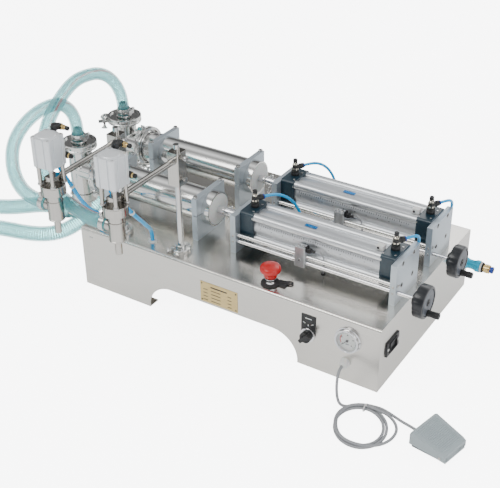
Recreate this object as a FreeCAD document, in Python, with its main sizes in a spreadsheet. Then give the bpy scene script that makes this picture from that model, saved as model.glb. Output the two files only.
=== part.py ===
import FreeCAD, Part
import math
import os
import re

import Sketcher

# Double-head piston liquid filler, in millimetres.
# Frame: origin at the centre of the cabinet's footprint on the floor, +X towards the handwheels,
# +Y towards the back of the cabinet, +Z up.

DIMENSIONS = {
    # cabinet
    "cabinet_length": 690,
    "cabinet_width": 416,
    "cabinet_height": 139,
    "sheet_wall": 1.5,
    "fold_radius": 6,
    "arch_left": -174,
    "arch_span": 350,
    "arch_height": 60,
    "arch_radius": 56,
    "flange_width": 25,
    "flange_wall": 2,
    "foot_hole_inset": 13,
    "foot_hole_radius": 3.25,
    # the two rows of cylinders
    "row_offset": 78,
    "axis_height": 195,
    "saddle_wall": 12,
    "saddle_width": 100,
    "saddle_top": 233.5,
    "saddle_split": 1.5,
    "left_saddle_x": -343,
    "right_saddle_x": -117,
    "tube_left": -383,
    "tube_right": -87,
    "tube_radius": 35,
    "tube_bore": 32.5,
    "tube_collar": 36.2,
    "tube_collar_length": 18,
    "ferrule_radius": 38.7,
    "ferrule_wall": 3,
    "piston_clearance": 0.06,
    "piston_length": 31,
    "plate_wall": 12,
    "plate_width": 98,
    "plate_top": 223.5,
    "rod_plate_x": -26,
    "wheel_plate_x": 319,
    "cap_side": 65,
    "cap_length": 30,
    "barrel_radius": 29,
    "barrel_bore": 25,
    "tie_offset": 23.25,
    "tie_radius": 8.6,
    "air_rod_radius": 8,
    "coupling_radius": 9,
    "coupling_pin_radius": 2.5,
    # stroke adjustment
    "guide_offset": 41,
    "guide_height": 178.6,
    "screw_height": 165,
    "guide_radius": 4,
    "running_gap": 0.06,
    "block_x": 130,
    "block_length": 22,
    "block_depth": 15,
    "block_low": 157,
    "block_high": 199,
    "wheel_x": 373,
    "wheel_radius": 31.5,
    "wheel_rim": 20,
    "knob_radius": 6.5,
    "knob_length": 25,
    "knob_offset": 22,
    # check valves
    "valve_x": -447,
    "valve_radius": 25.5,
    "valve_bore": 23.5,
    "valve_low": 116,
    "valve_top": 249,
    "valve_ferrule": 32,
    "gasket_gap": 2,
    "seat_bore": 11,
    "seat_wall": 4,
    "inlet_seat": 158,
    "outlet_seat": 221,
    "poppet_radius": 15,
    "poppet_gap": 0.1,
    "elbow_radius": 34,
    "elbow_pipe": 14,
    "elbow_height": 70,
    "elbow_spigot": 10,
    "rear_elbow_turn": 15,
    "hose_radius": 13.5,
    "suction_radius": 18,
    # speed controllers on the caps
    "elbow_heading": 60,
    "elbow_reach": 17,
    # nozzles
    "left_column_x": -257,
    "right_column_x": -112,
    "column_y": -175,
    "column_radius": 6,
    "column_top": 374,
    "column_foot": 19.5,
    "clamp_low": 291,
    "clamp_high": 361,
    "clamp_width": 26,
    "arm_height": 343,
    "arm_radius": 6,
    "nozzle_y": -360,
    "actuator_side": 44,
    "actuator_low": 374,
    "actuator_high": 434,
    "post_radius": 4,
    "post_offset": 15,
    "flange_low": 316,
    "flange_high": 335,
    "flange_radius": 23,
    "body_radius": 15,
    "body_low": 261,
    "tip_radius": 6.2,
    "tip_low": 232,
    "stem_radius": 4,
    "port_height": 288,
    "port_length": 5,
    # controls
    "stop_x": 99,
    "stop_y": -180,
    "selector_x": 199,
    "selector_height": 76,
    "selector_turn": -45,
    "needle_turn": 135,
    "gauge_x": 281,
    "gauge_height": 95,
    "gland_x": 278,
    "gland_height": 43,
    "cable_radius": 2.75,
    "socket_y": -158,
    "socket_height": 80,
    "inlet_y": 167,
    "inlet_height": 82,
    "air_tube_radius": 3,
    "nozzle_tube_radius": 4,
    "sensor_cable_radius": 1.5,
    # foot switch
    "pedal_x": 496,
    "pedal_y": -279,
    "pedal_turn": -13,
    "pedal_length": 72,
    "pedal_width": 64,
    "pedal_pivot": 7.5,
    "pin_radius": 2.4,
}

doc = FreeCAD.newDocument("PistonLiquidFiller")
sheet = doc.addObject("Spreadsheet::Sheet", "dim")
for line, (alias, number) in enumerate(DIMENSIONS.items(), start=1):
    sheet.set(f"A{line}", alias)
    sheet.set(f"B{line}", str(number))
    sheet.setAlias(f"B{line}", alias)
doc.recompute()

UP = FreeCAD.Rotation()
DOWN = FreeCAD.Rotation(FreeCAD.Vector(1, 0, 0), 180)
RIGHT = FreeCAD.Rotation(FreeCAD.Vector(0, 1, 0), 90)
LEFT = FreeCAD.Rotation(FreeCAD.Vector(0, 1, 0), -90)
FRONT = FreeCAD.Rotation(FreeCAD.Vector(1, 0, 0), 90)
BACK = FreeCAD.Rotation(FreeCAD.Vector(1, 0, 0), -90)
ROWS = {"front": "-row_offset", "rear": "row_offset"}
COLUMNS = {"left": "left_column_x", "right": "right_column_x"}
nodes = []


def bind(text):
    """The expression with every alias pointed at the sheet."""
    return re.sub(r"[a-z_]{3,}", lambda m: "dim." + m[0] if m[0] in DIMENSIONS else m[0], str(text))


def value(text):
    return float(sheet.evalExpression(bind(text)))


def place(thing, at, turn=UP):
    thing.Placement = FreeCAD.Placement(FreeCAD.Vector(0, 0, 0), turn)
    for axis, text in zip("xyz", at):
        thing.setExpression(f".Placement.Base.{axis}", bind(text))
    return thing


def primitive(kind, at, turn=UP, **sizes):
    thing = doc.addObject("Part::" + kind, kind.lower())
    for name, text in sizes.items():
        thing.setExpression(name, bind(text))
    return place(thing, at, turn)


def rod(radius, length, at, turn=UP):
    return primitive("Cylinder", at, turn, Radius=radius, Height=length)


def block(length, width, height, at, turn=UP):
    return primitive("Box", at, turn, Length=length, Width=width, Height=height)


def hexagon(radius, length, at, turn=UP):
    thing = primitive("Prism", at, turn, Circumradius=radius, Height=length)
    thing.Polygon = 6
    return thing


def fuse(*pieces):
    thing = doc.addObject("Part::MultiFuse", "fused")
    thing.Shapes = list(pieces)
    return thing


def cut(base, *tools):
    thing = doc.addObject("Part::Cut", "machined")
    thing.Base = base
    thing.Tool = fuse(*tools) if len(tools) > 1 else tools[0]
    return thing


def ring(outer, inner, length, at, turn=UP):
    return cut(rod(outer, length, at, turn), rod(inner, length, at, turn))


def rounded(base, radius, direction, keep=lambda edge: True):
    """The base with the straight edges along one direction rounded."""
    doc.recompute()
    thing = doc.addObject("Part::Fillet", "rounded")
    thing.Base = base
    found = []
    for number, edge in enumerate(base.Shape.Edges, start=1):
        along = (edge.lastVertex().Point - edge.firstVertex().Point).normalize()
        if abs(abs(along.dot(direction)) - 1) < 1e-6 and keep(edge):
            found.append((number, value(radius), value(radius)))
    thing.Edges = found
    return thing


def origin_plane(body, role):
    return [feature for feature in body.Origin.OriginFeatures if feature.Role == role][0]


def draw_loop(sketch, points):
    """A closed outline whose corners are dimensioned from the sketch's origin."""
    corners = [FreeCAD.Vector(value(x), value(y), 0) for x, y in points]
    count = len(corners)
    first = sketch.GeometryCount
    sketch.addGeometry([Part.LineSegment(corners[i], corners[(i + 1) % count]) for i in range(count)])
    sketch.addConstraint(
        [Sketcher.Constraint("Coincident", first + i, 2, first + (i + 1) % count, 1) for i in range(count)]
    )
    for i, pair in enumerate(points):
        for kind, text in zip(("DistanceX", "DistanceY"), pair):
            made = sketch.addConstraint(Sketcher.Constraint(kind, -1, 1, first + i, 1, value(text)))
            sketch.setExpression(f"Constraints[{made}]", bind(text))


def draw_hole(sketch, x, y, radius):
    centre = FreeCAD.Vector(value(x), value(y), 0)
    made = sketch.addGeometry(Part.Circle(centre, FreeCAD.Vector(0, 0, 1), value(radius)))
    for kind, text in (("DistanceX", x), ("DistanceY", y)):
        number = sketch.addConstraint(Sketcher.Constraint(kind, -1, 1, made, 3, value(text)))
        sketch.setExpression(f"Constraints[{number}]", bind(text))
    number = sketch.addConstraint(Sketcher.Constraint("Radius", made, value(radius)))
    sketch.setExpression(f"Constraints[{number}]", bind(radius))


def new_sketch(body, role):
    sketch = body.newObject("Sketcher::SketchObject", "profile")
    sketch.AttachmentSupport = (origin_plane(body, role), [""])
    sketch.MapMode = "FlatFace"
    return sketch


def lathe(points, at, turn=UP):
    """A body turned from (radius, height) corners about its own Z axis."""
    body = doc.addObject("PartDesign::Body", "turned")
    sketch = new_sketch(body, "XZ_Plane")
    draw_loop(sketch, points)
    feature = body.newObject("PartDesign::Revolution", "revolution")
    feature.Profile = sketch
    feature.ReferenceAxis = (sketch, ["V_Axis"])
    feature.Angle = 360
    body.Tip = feature
    return place(body, at, turn)


def padded(points, holes, thickness, at, turn=UP):
    """A flat plate: an outline with round holes, padded upwards from its own XY plane."""
    body = doc.addObject("PartDesign::Body", "plate")
    sketch = new_sketch(body, "XY_Plane")
    draw_loop(sketch, points)
    for hole in holes:
        draw_hole(sketch, *hole)
    feature = body.newObject("PartDesign::Pad", "pad")
    feature.Profile = sketch
    feature.setExpression("Length", bind(thickness))
    body.Tip = feature
    return place(body, at, turn)


def node(name, *pieces):
    """Register a sub-part: one piece, or a group of separate solids."""
    thing = pieces[0]
    if len(pieces) > 1:
        thing = doc.addObject("Part::Compound", name)
        thing.Links = list(pieces)
    thing.Label = name
    nodes.append(thing)
    return thing


def cabinet_shell():
    along = FreeCAD.Vector(1, 0, 0)
    is_top = lambda edge: edge.CenterOfMass.z > 1
    corner = ("-cabinet_length/2", "-cabinet_width/2", 0)
    outer = block("cabinet_length", "cabinet_width", "cabinet_height", corner)
    inner = block(
        "cabinet_length + 2",
        "cabinet_width - 2*sheet_wall",
        "cabinet_height - sheet_wall + 1",
        ("-cabinet_length/2 - 1", "-cabinet_width/2 + sheet_wall", -1),
    )
    arch = block("arch_span", 20, "arch_height + 5", ("arch_left", "-cabinet_width/2 - 10", -5))
    front = "-cabinet_width/2 - 5"
    holes = [
        rod(20, 12, ("gauge_x", front, "gauge_height"), BACK),
        rod(7.3, 12, ("gland_x", front, "gland_height"), BACK),
        rod(11.2, 12, ("selector_x", front, "selector_height"), BACK),
        rod(11.2, 12, ("stop_x", "stop_y", "cabinet_height - 5")),
    ]
    for x, y, radius in deck_holes():
        holes.append(rod(radius, 12, (x, y, "cabinet_height - 5")))
    shell = cut(
        rounded(outer, "fold_radius", along, is_top),
        rounded(inner, "fold_radius - sheet_wall", along, is_top),
        rounded(arch, "arch_radius", FreeCAD.Vector(0, 1, 0), is_top),
        *holes,
    )
    node("cabinet_shell", shell)


def deck_holes():
    """Where the air tubes and the sensor cables pass through the deck, with each hole's radius."""
    tubes = [*NOZZLE_TUBES.values(), *CYLINDER_TUBES]
    found = [(*route[-1][:2], 6) for route in tubes]
    return found + [(*route[-1][:2], 2.5) for route in SENSOR_CABLES.values()]


def side_panels():
    along = FreeCAD.Vector(1, 0, 0)
    panels = []
    for x in ("-cabinet_length/2", "cabinet_length/2 - sheet_wall"):
        flat = block(
            "sheet_wall",
            "cabinet_width - 2*sheet_wall",
            "cabinet_height - sheet_wall - flange_wall",
            (x, "-cabinet_width/2 + sheet_wall", "flange_wall"),
        )
        panels.append(rounded(flat, "fold_radius - sheet_wall", along, lambda edge: edge.CenterOfMass.z > 9))
    left, right = panels
    right = cut(
        right,
        block(8, 28.4, 21.4, ("cabinet_length/2 - 5", "socket_y - 14.2", "socket_height - 10.7")),
        rod(6.3, 8, ("cabinet_length/2 - 5", "inlet_y", "inlet_height"), RIGHT),
    )
    node("side_panels", left, right)


def base_flange():
    """The inward foot of the sheet: a C-shaped strip that leaves the arch open."""
    x, y = "(cabinet_length/2)", "(cabinet_width/2 - sheet_wall)"
    outline = [
        (f"-{x}", f"-{y}"),
        ("arch_left", f"-{y}"),
        ("arch_left", f"-{y} + flange_width"),
        (f"-{x} + flange_width", f"-{y} + flange_width"),
        (f"-{x} + flange_width", f"{y} - flange_width"),
        (f"{x} - flange_width", f"{y} - flange_width"),
        (f"{x} - flange_width", f"-{y} + flange_width"),
        ("arch_left + arch_span", f"-{y} + flange_width"),
        ("arch_left + arch_span", f"-{y}"),
        (x, f"-{y}"),
        (x, y),
        (f"-{x}", y),
    ]
    holes = [
        (f"{a}*({x} - foot_hole_inset)", f"{b}*({y} - foot_hole_inset)", "foot_hole_radius")
        for a in (-1, 1)
        for b in (-1, 1)
    ]
    node("base_flange", padded(outline, holes, "flange_wall", (0, 0, 0)))


def saddles():
    """Split clamp plates: two on each liquid cylinder."""
    pieces = []
    for y in ROWS.values():
        for x in ("left_saddle_x", "right_saddle_x"):
            bore = rod("tube_radius + 0.1", "saddle_wall + 2", (f"{x} - 1", y, "axis_height"), RIGHT)
            collar = f"({y}) - saddle_width/2"
            low = "axis_height - saddle_split/2 - cabinet_height"
            high = "saddle_top - axis_height - saddle_split/2"
            lower = block("saddle_wall", "saddle_width", low, (x, collar, "cabinet_height"))
            upper = block("saddle_wall", "saddle_width", high, (x, collar, "axis_height + saddle_split/2"))
            pieces += [cut(lower, bore), cut(upper, bore)]
    node("saddles", *pieces)


def liquid_cylinders():
    tube = "tube_right - tube_left"
    outline = [
        ("tube_bore", 0),
        ("ferrule_radius", 0),
        ("ferrule_radius", "ferrule_wall"),
        ("tube_radius", "ferrule_wall + 3"),
        ("tube_radius", f"{tube} - tube_collar_length"),
        ("tube_collar", f"{tube} - tube_collar_length"),
        ("tube_collar", tube),
        ("tube_bore", tube),
    ]
    node("liquid_cylinders", *[lathe(outline, ("tube_left", y, "axis_height"), RIGHT) for y in ROWS.values()])


def valve_bodies():
    """Vertical check-valve housings with a side branch to the cylinder and two seats."""
    bodies = []
    branch_face = "tube_left - gasket_gap"
    for y in ROWS.values():
        outer = [
            rod("valve_radius", "valve_top - valve_low", ("valve_x", y, "valve_low")),
            rod("valve_radius + 2.5", 21, ("valve_x", y, "valve_low")),
            rod("valve_ferrule", "ferrule_wall", ("valve_x", y, "valve_top - ferrule_wall")),
            rod("valve_radius", f"{branch_face} - valve_x", ("valve_x", y, "axis_height"), RIGHT),
            rod("ferrule_radius", "ferrule_wall", (f"{branch_face} - ferrule_wall", y, "axis_height"), RIGHT),
        ]
        above_inlet = "inlet_seat + seat_wall"
        above_outlet = "outlet_seat + seat_wall"
        inner = [
            rod("valve_bore", "outlet_seat - inlet_seat - seat_wall", ("valve_x", y, above_inlet)),
            rod("valve_bore", "valve_top - outlet_seat - seat_wall + 1", ("valve_x", y, above_outlet)),
            rod("valve_bore", "inlet_seat - valve_low - 8", ("valve_x", y, "valve_low + 8")),
            rod("seat_bore", "valve_top - valve_low + 2", ("valve_x", y, "valve_low - 1")),
            rod("valve_bore", f"{branch_face} - valve_x + 1", ("valve_x", y, "axis_height"), RIGHT),
        ]
        bodies.append(cut(fuse(*outer), *inner))
    node("valve_bodies", *bodies)


def tri_clamps():
    """Clamp rings over the ferrules, each with its lug, swing bolt and wing nut."""
    pieces = []
    for y, wing in (("-row_offset", 250), ("row_offset", 221)):
        turn = FreeCAD.Rotation(FreeCAD.Vector(0, 0, 1), wing)
        centre = ("valve_x", y, "valve_top + gasket_gap/2")
        pieces.append(clamp_set("valve_ferrule", centre, turn))
        side = FreeCAD.Rotation(FreeCAD.Vector(0, 1, 0), 90) * FreeCAD.Rotation(FreeCAD.Vector(0, 0, 1), 205)
        centre = ("tube_left - gasket_gap/2", y, "axis_height")
        pieces.append(clamp_set("ferrule_radius", centre, side))
    node("tri_clamps", *[piece for made in pieces for piece in made])


def clamp_set(ferrule, centre, turn):
    """The ring, bolt and nut of one clamp, built about the origin and then placed together."""
    outer = f"({ferrule}) + 5.5"
    hoop = ring(outer, f"({ferrule}) + 0.3", 14, (0, 0, -7))
    lug = block(16, 9, 14, (f"({outer}) - 2", -4.5, -7))
    bolt_hole = rod(3.3, 20, (f"({outer}) + 8", -10, 0), BACK)
    bolt = rod(3, 34, (f"({outer}) + 8", -12, 0), BACK)
    head = block(9, 4, 9, (f"({outer}) + 3.5", -12, -4.5))
    wings = [
        primitive("Cone", (f"({outer}) + 8", 5, 0), BACK, Radius1=6, Radius2=4, Height=9),
        block(26, 3, 7, (f"({outer}) - 5", 10, -3.5)),
    ]
    set_pieces = [cut(fuse(hoop, lug), bolt_hole), fuse(bolt, head, *wings)]
    placed = []
    for piece in set_pieces:
        holder = doc.addObject("Part::Compound", "clamp_piece")
        holder.Links = [piece]
        placed.append(place(holder, centre, turn))
    return placed


def hose_barbs():
    """Outlet caps on top of the valves, and inlet elbows below them."""
    cap = [
        ("hose_radius - 5.5", 0),
        ("valve_ferrule", 0),
        ("valve_ferrule", "ferrule_wall"),
        ("hose_radius - 1.5", "ferrule_wall"),
        ("hose_radius - 1.5", "ferrule_wall + 3"),
        ("hose_radius - 5.5", "ferrule_wall + 3"),
    ]
    pieces = [lathe(cap, ("valve_x", y, "valve_top + gasket_gap")) for y in ROWS.values()]
    for y, heading in (("-row_offset", 180), ("row_offset", "270 - rear_elbow_turn")):
        pieces.append(inlet_elbow(y, value(heading)))
    node("hose_barbs", *pieces)


def inlet_elbow(y, heading):
    """A quarter bend from the valve's bottom to a level spigot that points along the heading."""
    turn = FreeCAD.Rotation(FreeCAD.Vector(0, 0, 1), heading)
    drop = rod("elbow_pipe", "valve_low - elbow_height - elbow_radius", (0, 0, "elbow_radius"))
    bend = primitive("Torus", (0, 0, 0), Radius1="elbow_radius", Radius2="elbow_pipe", Angle3=90)
    axes = [FreeCAD.Vector(-1, 0, 0), FreeCAD.Vector(0, 0, -1), FreeCAD.Vector(0, -1, 0)]
    place(bend, ("elbow_radius", 0, "elbow_radius"), FreeCAD.Rotation(*axes, "ZXY"))
    spigot = rod("elbow_pipe", "elbow_spigot", ("elbow_radius", 0, 0), RIGHT)
    holder = doc.addObject("Part::Compound", "elbow")
    holder.Links = [fuse(drop, bend, spigot)]
    return place(holder, ("valve_x", y, "elbow_height"), turn)


def check_poppets():
    poppet = [
        (0, "-seat_wall - 6"),
        (4, "-seat_wall - 6"),
        (4, 0),
        ("poppet_radius", 0),
        ("poppet_radius", 3),
        (4, 7),
        (4, 14),
        (0, 14),
    ]
    for row, y in ROWS.items():
        for port in ("inlet", "outlet"):
            top = f"{port}_seat + seat_wall + poppet_gap"
            node(f"{row}_{port}_poppet", lathe(poppet, ("valve_x", y, top)))


def air_barrels():
    """Extruded barrels: a round bore in a round body with four tie-rod lobes."""
    start = "rod_plate_x + plate_wall + cap_length"
    length = "wheel_plate_x - cap_length - (rod_plate_x + plate_wall + cap_length)"
    barrels = []
    for y in ROWS.values():
        lobes = [
            rod(
                "tie_radius", length, (start, f"({y}) + {a}*tie_offset", f"axis_height + {b}*tie_offset"), RIGHT
            )
            for a in (-1, 1)
            for b in (-1, 1)
        ]
        core = rod("barrel_radius", length, (start, y, "axis_height"), RIGHT)
        bore = rod("barrel_bore", length, (start, y, "axis_height"), RIGHT)
        barrels.append(cut(fuse(core, *lobes), bore))
    node("air_barrels", *barrels)


def barrel_end_caps():
    along = FreeCAD.Vector(1, 0, 0)
    caps = []
    for y in ROWS.values():
        for x in ("rod_plate_x + plate_wall", "wheel_plate_x - cap_length"):
            corner = (x, f"({y}) - cap_side/2", "axis_height - cap_side/2")
            cube = block("cap_length", "cap_side", "cap_side", corner)
            body = rounded(cube, 5, along)
            if "rod" in x:
                bore = rod("air_rod_radius + running_gap", "cap_length", (x, y, "axis_height"), RIGHT)
                body = cut(body, bore)
            caps.append(body)
    node("barrel_end_caps", *caps)


def end_plates():
    """Plates that carry the air cylinders: bored for the rod, the guide rod and the screw."""
    plates = []
    across = "plate_width/2"
    tall = "plate_top - cabinet_height"
    middle = "axis_height - cabinet_height"
    outline = [(f"-{across}", 0), (across, 0), (across, tall), (f"-{across}", tall)]
    bearing = "guide_radius + running_gap"
    shafts = [
        ("-guide_offset", "guide_height - cabinet_height", bearing),
        ("-guide_offset", "screw_height - cabinet_height", bearing),
    ]
    bolts = [(f"{a}*tie_offset", f"{middle} + {b}*tie_offset", 4.5) for a in (-1, 1) for b in (-1, 1)]
    axes = [FreeCAD.Vector(*axis) for axis in ((0, 1, 0), (0, 0, 1), (1, 0, 0))]
    upright = FreeCAD.Rotation(*axes, "XYZ")
    for y in ROWS.values():
        gland = [(0, middle, "air_rod_radius + 2")]
        for x, holes in (("rod_plate_x", shafts + gland), ("wheel_plate_x", shafts + bolts)):
            plates.append(padded(outline, holes, "plate_wall", (x, y, "cabinet_height"), upright))
    node("end_plates", *plates)


def guide_rods():
    length = "wheel_plate_x + plate_wall - rod_plate_x"
    starts = [("rod_plate_x", f"({y}) - guide_offset", "guide_height") for y in ROWS.values()]
    rods = [rod("guide_radius", length, start, RIGHT) for start in starts]
    node("guide_rods", *rods)


def flow_controls():
    """Speed controllers on the caps: a round base, a hexagon body, a screw and a side elbow."""
    made = []
    top = "axis_height + cap_side/2"
    elbow = FreeCAD.Rotation(FreeCAD.Vector(0, 0, 1), value("elbow_heading")) * RIGHT
    for y in ROWS.values():
        for x in ("rod_plate_x + plate_wall + cap_length/2", "wheel_plate_x - cap_length/2"):
            pieces = [
                rod(8, 10, (x, y, top)),
                hexagon(7, 13, (x, y, f"{top} + 9")),
                rod(3.2, 8, (x, y, f"{top} + 21")),
                rod(4.6, 7, (x, y, f"{top} + 28")),
                rod(5.2, "elbow_reach", (x, y, f"{top} + 17"), elbow),
            ]
            made.append(fuse(*pieces))
    node("flow_controls", *made)


def hose_clamps():
    pieces = []
    for y, heading in (("-row_offset", 180), ("row_offset", "270 - rear_elbow_turn")):
        base = ("valve_x", y, "valve_top + gasket_gap + ferrule_wall + 9")
        band = ring("hose_radius + 1.2", "hose_radius + 0.3", 11, base)
        housing = block(8, 16, 9, ("valve_x + hose_radius + 0.9", f"({y}) - 8", "valve_top + 15"))
        pieces.append(fuse(band, housing))
        turn = FreeCAD.Rotation(FreeCAD.Vector(0, 0, 1), value(heading))
        band = ring("suction_radius + 1.4", "suction_radius + 0.3", 12, (0, 0, 0), RIGHT)
        box = block(10, 16, 9, (1, -8, "suction_radius + 0.4"))
        holder = doc.addObject("Part::Compound", "band")
        holder.Links = [fuse(band, box)]
        reach = "(elbow_radius + elbow_spigot + 9)"
        along = (f"valve_x + {reach}*cos({value(heading)})", f"({y}) + {reach}*sin({value(heading)})")
        pieces.append(place(holder, (*along, "elbow_height"), turn))
    node("hose_clamps", *pieces)


def piston_sets():
    """What the air cylinder moves: liquid piston, rods with their coupling and pin, and the air piston."""
    groove = "tube_bore - piston_clearance - 2.5"
    skirt = "tube_bore - piston_clearance"
    face = "tube_right + 1"
    piston = [
        (0, 0),
        (skirt, 0),
        (skirt, 7),
        (groove, 7),
        (groove, 10),
        (skirt, 10),
        (skirt, 20),
        (groove, 20),
        (groove, 23),
        (skirt, 23),
        (skirt, "piston_length"),
        (0, "piston_length"),
    ]
    air_start = "wheel_plate_x - cap_length - 26"
    for row, y in ROWS.items():
        node(f"{row}_liquid_piston", lathe(piston, (f"{face} - piston_length", y, "axis_height"), RIGHT))
        pin_x = f"{face} + 30"
        coupling = cut(
            rod("coupling_radius", 34, (f"{face} + 8", y, "axis_height"), RIGHT),
            rod("coupling_pin_radius + 0.05", 30, (pin_x, y, "axis_height - 15")),
        )
        stub = rod("coupling_radius - 1.5", 8, (face, y, "axis_height"), RIGHT)
        start = (f"{face} + 42", y, "axis_height")
        air_rod = rod("air_rod_radius", f"{air_start} - ({face}) - 42", start, RIGHT)
        pin = rod("coupling_pin_radius", 26, (pin_x, y, "axis_height - 13"))
        air_piston = rod("barrel_bore - running_gap", 24, (air_start, y, "axis_height"), RIGHT)
        node(f"{row}_piston_rod", fuse(coupling, stub, air_rod), pin, air_piston)


def stroke_adjusters():
    for row, y in ROWS.items():
        centre = f"({y}) - guide_offset"
        low = f"{centre} - block_depth/2"
        body = block(
            "block_length",
            "block_depth",
            "block_high - block_low",
            ("block_x - block_length/2", low, "block_low"),
        )
        bores = [
            rod(
                "guide_radius + running_gap", "block_length + 2",
                ("block_x - block_length/2 - 1", centre, z), RIGHT,
            )
            for z in ("guide_height", "screw_height")
        ]
        node(f"{row}_stroke_block", cut(rounded(body, 1.5, FreeCAD.Vector(0, 0, 1)), *bores))
        start = ("rod_plate_x + 2", centre, "screw_height")
        screw = rod("guide_radius", "wheel_x + wheel_rim - 4 - rod_plate_x - 2", start, RIGHT)
        node(f"{row}_adjusting_screw", screw)
        node(f"{row}_handwheel", *handwheel(centre))


def handwheel(centre):
    rim = [
        ("guide_radius + 0.02", -8),
        (12, -8),
        (14, 0),
        ("wheel_radius - 3", 0),
        ("wheel_radius", 4),
        ("wheel_radius", "wheel_rim - 3"),
        ("wheel_radius - 2", "wheel_rim"),
        ("wheel_radius - 4", "wheel_rim"),
        ("wheel_radius - 5", "wheel_rim - 2"),
        (9, "wheel_rim - 2"),
        (8, "wheel_rim - 4"),
        ("guide_radius + 0.02", "wheel_rim - 4"),
    ]
    wheel = lathe(rim, ("wheel_x", centre, "screw_height"), RIGHT)
    start = ("wheel_x + wheel_rim - 2", centre, "screw_height - knob_offset")
    knob = rod("knob_radius", "knob_length", start, RIGHT)
    return wheel, knob


def nozzle_columns():
    foot = [
        ("column_radius + 0.1", 0),
        ("column_foot", 0),
        ("column_foot", 8),
        ("column_foot - 2", 10),
        (11, 10),
        (11, 17),
        ("column_radius + 0.1", 17),
    ]
    pieces = []
    for x in COLUMNS.values():
        pieces.append(lathe(foot, (x, "column_y", "cabinet_height")))
        pieces.append(rod("column_radius", "column_top - cabinet_height", (x, "column_y", "cabinet_height")))
    node("nozzle_columns", *pieces)


def nozzle_arm(side, x):
    """The clamp block on the column, and the arm that carries the nozzle."""
    half = "clamp_width/2"
    body = block(
        "clamp_width",
        "clamp_width + 2",
        "clamp_high - clamp_low",
        (f"{x} - {half}", "column_y - clamp_width/2 - 1", "clamp_low"),
    )
    arm_start = "column_y - column_radius - 2"
    arm_length = f"{arm_start} - nozzle_y - stem_radius - 4"
    tools = [
        rod("column_radius + running_gap", "clamp_high - clamp_low + 2", (x, "column_y", "clamp_low - 1")),
        rod("arm_radius + 0.02", 30, (x, arm_start, "arm_height"), FRONT),
    ]
    clamp = cut(rounded(body, 2, FreeCAD.Vector(0, 0, 1)), *tools)
    node(f"{side}_nozzle_arm", clamp, rod("arm_radius", arm_length, (x, arm_start, "arm_height"), FRONT))


def nozzle_actuator(side, x):
    half = "actuator_side/2"
    body = block(
        "actuator_side",
        "actuator_side",
        "actuator_high - actuator_low",
        (f"{x} - {half}", f"nozzle_y - {half}", "actuator_low"),
    )
    bore = rod("stem_radius + running_gap", 40, (x, "nozzle_y", "actuator_low - 1"))
    bore_cap = rod(16, 30, (x, "nozzle_y", "actuator_low + 8"))
    node(f"{side}_nozzle_actuator", cut(rounded(body, 9, FreeCAD.Vector(0, 0, 1)), bore, bore_cap))


def nozzle_body(side, x):
    """Posts, flange, holder, valve body with its side port, and the tip."""
    pieces = [
        rod(
            "post_radius", "actuator_low - flange_high",
            (f"{x} + {a}*post_offset", f"nozzle_y + {b}*post_offset", "flange_high"),
        )
        for a in (-1, 1)
        for b in (-1, 1)
    ]
    guide = rod("stem_radius + running_gap", 60, (x, "nozzle_y", "flange_low - 1"))
    holder = block(20, 25, 16, (f"{x} - 10", "nozzle_y - 10", "flange_high"))
    arm_socket = rod("arm_radius + 0.02", 20, (x, "nozzle_y + stem_radius + 4", "arm_height"), BACK)
    holder = cut(holder, guide, arm_socket)
    flange = cut(rod("flange_radius", "flange_high - flange_low", (x, "nozzle_y", "flange_low")), guide)
    outline = [
        ("tip_radius - 1.4", "tip_low"),
        ("tip_radius", "tip_low"),
        ("tip_radius", "body_low - 0.5"),
        ("body_radius - 2", "body_low"),
        ("body_radius", "body_low + 2"),
        ("body_radius", "flange_low"),
        ("body_radius - 3", "flange_low"),
        ("body_radius - 3", "body_low + 12"),
        ("tip_radius - 1.4", "body_low + 6"),
    ]
    start = (f"{x}", "nozzle_y", "port_height")
    port = ring("hose_radius - 1.5", "hose_radius - 4", "body_radius + port_length", start, LEFT)
    hollow = rod("body_radius - 3", "flange_low - body_low - 12", (x, "nozzle_y", "body_low + 12"))
    way_in = rod("hose_radius - 4", "body_radius + port_length + 1", (x, "nozzle_y", "port_height"), LEFT)
    housing = cut(fuse(lathe(outline, (x, "nozzle_y", 0)), port), hollow, way_in)
    node(f"{side}_nozzle_body", *pieces, holder, flange, housing)


def nozzle_stem(side, x):
    outline = [
        (0, "body_low + 1"),
        ("tip_radius - 1.4 - running_gap", "body_low + 1"),
        ("tip_radius - 1.4 - running_gap", "body_low + 8"),
        (10, "body_low + 15"),
        (10, "body_low + 22"),
        ("stem_radius", "body_low + 25"),
        ("stem_radius", "actuator_low + 14"),
        (15.9, "actuator_low + 14"),
        (15.9, "actuator_low + 22"),
        (0, "actuator_low + 22"),
    ]
    node(f"{side}_nozzle_stem", lathe(outline, (x, "nozzle_y", 0)))


def nameplate():
    node("nameplate", block(86, 1, 46, (-44, "-cabinet_width/2 - 1", 65)))


def switch_legends():
    """The black plates behind the selector switch and the stop button."""
    front = "-cabinet_width/2"
    plate = cut(
        block(30, 1.5, 42, ("selector_x - 15", f"{front} - 1.5", "selector_height + 1")),
        rod(14.7, 6, ("selector_x", f"{front} + 2", "selector_height"), FRONT),
    )
    hoop = ring(18, 11.3, 3, ("stop_x", "stop_y", "cabinet_height"))
    tab = block(20, 18, 3, ("stop_x + 12", "stop_y - 1", "cabinet_height"))
    shade = cut(fuse(hoop, tab), rod(11.3, 10, ("stop_x", "stop_y", "cabinet_height - 2")))
    node("switch_legends", plate, shade)


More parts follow.
